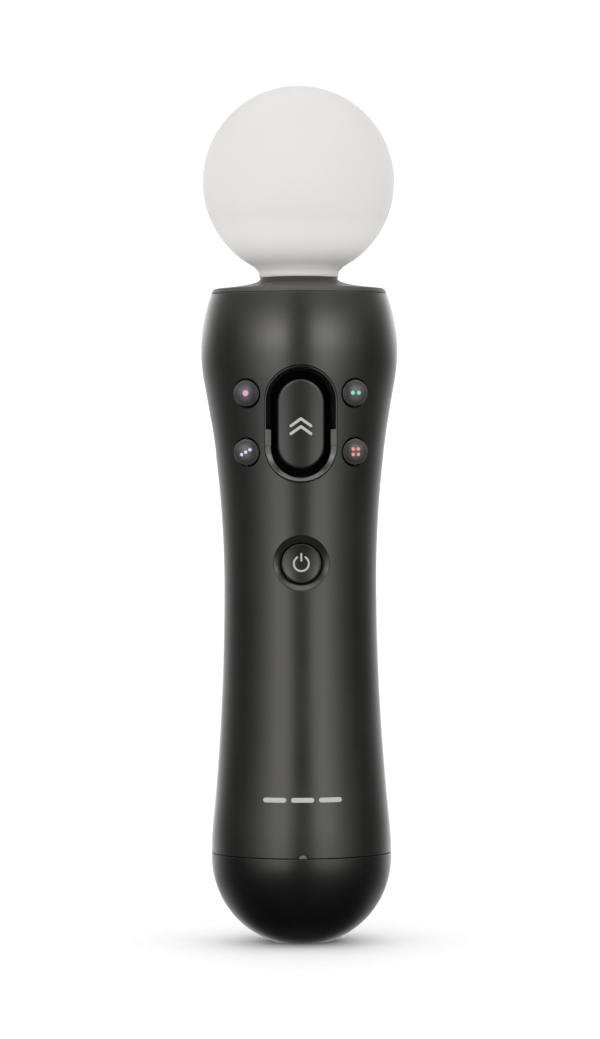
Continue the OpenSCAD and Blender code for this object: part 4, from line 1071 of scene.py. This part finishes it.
def make_materials():
    """A finished material for each of the record's slots, and for what differs from its slot."""
    along = (1, 1, 8)
    soft_ball()
    circuit_board()
    wrapped_battery()
    lens("clear_plastic", 120, ((0.5, 0.5, 0.49), (0.6, 0.6, 0.58)), (0.12, 0.22),
         Transmission_Weight=0.6, IOR=1.49)
    lens("smoked_lens", 200, ((0.10, 0.10, 0.095), (0.13, 0.13, 0.125)), (0.2, 0.3))
    moulded("white_plastic", (0.72, 0.72, 0.69), 0.42, spread=0.04)
    moulded("flat_cable", (0.68, 0.69, 0.70), 0.35, 900, spread=0.05)
    moulded("collar_plastic", (0.034, 0.0315, 0.0275), 0.5)
    moulded("casing_plastic", (0.0095, 0.0093, 0.0086), 0.305)
    moulded("cap_plastic", (0.0035, 0.0035, 0.0035), 0.33)
    moulded("main_button_plastic", (0.0095, 0.0095, 0.009), 0.3, height=0.000006)
    moulded("rim_plastic", (0.009, 0.009, 0.009), 0.24, 900, 0.000001, coat=0.2)
    moulded("button_plastic", (0.014, 0.0145, 0.0155), 0.3)
    moulded("home_plastic", (0.005, 0.005, 0.005), 0.3)
    moulded("trigger_plastic", (0.010, 0.010, 0.0098), 0.36, height=0.000006)
    # Painted shade: a near-black, barely reflective finish for faces deep in wells and gaps, where
    # the real part lies in shade.
    moulded("well_painted_shade", (0.0015, 0.0015, 0.0015), 0.8, specular=0.08)
    moulded("chassis_plastic", (0.05, 0.05, 0.052), 0.5)
    moulded("dark_rubber", (0.05, 0.05, 0.055), 0.75, 1800, 0.00001)
    moulded("grey_rubber", (0.42, 0.42, 0.40), 0.7, 1800, 0.00001)
    moulded("chip", (0.016, 0.016, 0.017), 0.5, 2600, 0.000008)
    moulded("lead_wire", (0.28, 0.03, 0.03), 0.35)
    moulded("socket_plastic", (0.014, 0.014, 0.014), 0.4, 2600)
    metal("steel", (0.60, 0.60, 0.58), 0.3, along)
    metal("blackened_steel", (0.09, 0.09, 0.09), 0.45, along)
    metal("shield_steel", (0.68, 0.68, 0.66), 0.24, (6, 1, 1))
    metal("weight_metal", (0.42, 0.40, 0.36), 0.45, scale=1800, height=0.00001)
    metal("gold_contact", (0.83, 0.58, 0.24), 0.22)
    ink("grey_ink", (0.36, 0.36, 0.35))
    ink("upper_left_ink", (0.52, 0.25, 0.42))
    ink("upper_right_ink", (0.10, 0.60, 0.42))
    ink("lower_left_ink", (0.42, 0.46, 0.68))
    ink("lower_right_ink", (0.75, 0.20, 0.18))


# CAD nodes with a finish of their own
SPECIAL_FINISH = {"status_lens": "smoked_lens", "shell_screws": "blackened_steel"}


def paint_nodes():
    """Gives every carried-over CAD node its slot's material, or its own."""
    for row in frame["record"]["subparts"]:
        node = frame["nodes"][row["node"]]
        if not node.hide_render:
            node.data.materials.clear()
            finish = SPECIAL_FINISH.get(row["node"], row["material_slot"])
            node.data.materials.append(MATERIALS[finish])


# ---- floor, light and camera ----

def floor():
    """Pale round floor, 3 m in radius."""
    far, thick, crease = 3000, 3, 30
    obj = mesh_object("studio_floor", turned([(0, -thick), (far, -thick), (far, 1 - thick), (far, 0),
                                              (1200, 0), (400, 0), (120, 0), (0, 0)], 96))
    smooth(obj, crease)
    n = Nodes("studio_paper")
    n.set(Base_Color=n.tint(n.noise(400, 3), (0.90, 0.90, 0.90), (0.93, 0.93, 0.93)),
          Roughness=0.8, Specular_IOR_Level=0.1)
    obj.data.materials.append(MATERIALS["studio_paper"])
    obj.visible_glossy = False


TENT_R, TENT_LOW, TENT_HIGH = 0.5, -0.5, 0.9
TENT_MOST = 4.0                 # brightness that fills a curve, for either factor of a band
# Brightness of the tent's inside, summed over bands. A band is a number at angles round from the
# front, in degrees, times a number at heights, in metres. The tent's two sides match
TENT_BANDS = [
    ([(0, 0.0), (9, 0.02), (19, 2.4), (33, 2.4), (50, 1.2), (65, 0.4), (85, 0.05), (110, 0.1),
      (128, 0.4), (145, 0.9), (180, 1.5)],
     [(-0.5, 0.01), (-0.25, 0.03), (-0.12, 0.12), (-0.01, 1.25), (0.06, 1.1), (0.12, 1.05),
      (0.2, 2.6), (0.28, 1.9), (0.38, 0.35), (0.5, 0.05), (0.9, 0.0)]),
    ([(0, 0.1), (6, 0.25), (16, 0.95), (60, 0.9), (100, 0.8), (180, 1.0)],
     [(-0.5, 0.0), (0.2, 0.0), (0.34, 0.55), (0.5, 0.8), (0.7, 0.9), (0.9, 0.4)]),
    ([(0, 0.0), (90, 0.0), (112, 0.25), (140, 1.2), (180, 2.4)],
     [(-0.5, 0.03), (-0.35, 0.12), (-0.2, 0.5), (-0.05, 0.4), (0.06, 0.0), (0.9, 0.0)]),
    ([(0, 1.0), (180, 1.0)], [(-0.5, 0.0), (0.62, 0.0), (0.78, 1.5), (0.9, 3.4)]),
]


def tent_cloth():
    """Glow of the tent's inside, by how far round it is and how high."""
    n = Nodes("tent_cloth")
    place = n.axes()
    side = n.maths("ABSOLUTE", place["X"])
    turn = n.maths("ARCTAN2", side, n.maths("MULTIPLY", place["Y"], -1.0))
    round_it = n.maths("DIVIDE", turn, PI)
    tall = TENT_HIGH - TENT_LOW
    share = n.maths("DIVIDE", n.maths("SUBTRACT", place["Z"], TENT_LOW), tall)
    strength = 0.0
    for sideways, upwards in TENT_BANDS:
        across = n.curve(round_it, [(a / 180, b / TENT_MOST) for a, b in sideways])
        up = n.curve(share, [((z - TENT_LOW) / tall, b / TENT_MOST) for z, b in upwards])
        band = n.maths("MULTIPLY", n.maths("MULTIPLY", across, up), TENT_MOST ** 2)
        strength = n.maths("ADD", band, strength)
    glow = n.new("Emission", Strength=strength).outputs["Emission"]
    n.fill(n.tree.nodes["Material Output"], {"Surface": glow})


def light_tent():
    """Studio tent that only reflections see: soft strips in front on both sides, dark between
    them and beside them, and bright behind. It is drawn round the object, not round the camera."""
    obj = mesh_object("light_tent", turned([(0, TENT_LOW / MM), (TENT_R / MM, TENT_LOW / MM),
                                            (TENT_R / MM, TENT_HIGH / MM), (0, TENT_HIGH / MM)], 72))
    tent_cloth()
    obj.data.materials.append(MATERIALS["tent_cloth"])
    obj.visible_camera = obj.visible_diffuse = obj.visible_shadow = False
    obj.visible_transmission = False


def set_world(strength):
    world = bpy.data.worlds.new("studio_air")
    bpy.context.scene.world = world
    world.use_nodes = True
    sky = world.node_tree.nodes["Background"]
    sky.inputs["Color"].default_value = (1, 1, 1, 1)
    sky.inputs["Strength"].default_value = strength


TARGET = Vector((0, 0, 0.0987))
CAMERA_FAR, CAMERA_LENS = 1.0, 148.1
CAMERA_TURN, CAMERA_RISE, CAMERA_ROLL = -0.9, 0.53, -0.27


def aimed(name, data, turn, rise, far, roll=0.0):
    """A camera or light aimed at the object from a place around it. Angles are in degrees; turn 0
    is in front of the object and positive towards +X."""
    turn, rise, roll = (math.radians(a) for a in (turn, rise, roll))
    obj = bpy.data.objects.new(name, data)
    bpy.context.scene.collection.objects.link(obj)
    obj.location = TARGET + far * Vector((math.sin(turn) * math.cos(rise),
                                          -math.cos(turn) * math.cos(rise), math.sin(rise)))
    obj.rotation_mode = "QUATERNION"
    aim = (TARGET - obj.location).to_track_quat("-Z", "Y")
    obj.rotation_quaternion = aim @ Quaternion((0, 0, 1), roll)
    return obj


def add_camera():
    data = bpy.data.cameras.new("camera")
    data.lens, data.sensor_width = CAMERA_LENS, 36
    data.clip_start, data.clip_end = 0.05, 20
    bpy.context.scene.camera = aimed("camera", data, CAMERA_TURN, CAMERA_RISE, CAMERA_FAR,
                                     CAMERA_ROLL)


def add_light(name, turn, rise, far, size, watts):
    data = bpy.data.lights.new(name, "AREA")
    data.shape, data.size, data.size_y, data.energy = "RECTANGLE", size, size, watts
    light = aimed(name, data, turn, rise, far)
    light.visible_camera = light.visible_glossy = False


def add_lights():
    set_world(strength=1.12)
    light_tent()
    add_light("front_soft", turn=-8, rise=4, far=1.5, size=0.9, watts=9.0)


# ---- the whole object ----

def build():
    make_materials()
    for make in (light_ball, top_collar, front_casing, rear_casing, casing_bosses, bottom_cap,
                 main_button, rim, home_button):
        make()
    for name, (side, z, _, _) in ACTION_DOTS.items():
        action_button(name, side, z)
    side_button("select", -1)
    side_button("start", 1)
    trigger()
    marks()
    paint_nodes()


build()
floor()
add_lights()
add_camera()
bpy.context.scene.view_settings.view_transform = "Standard"
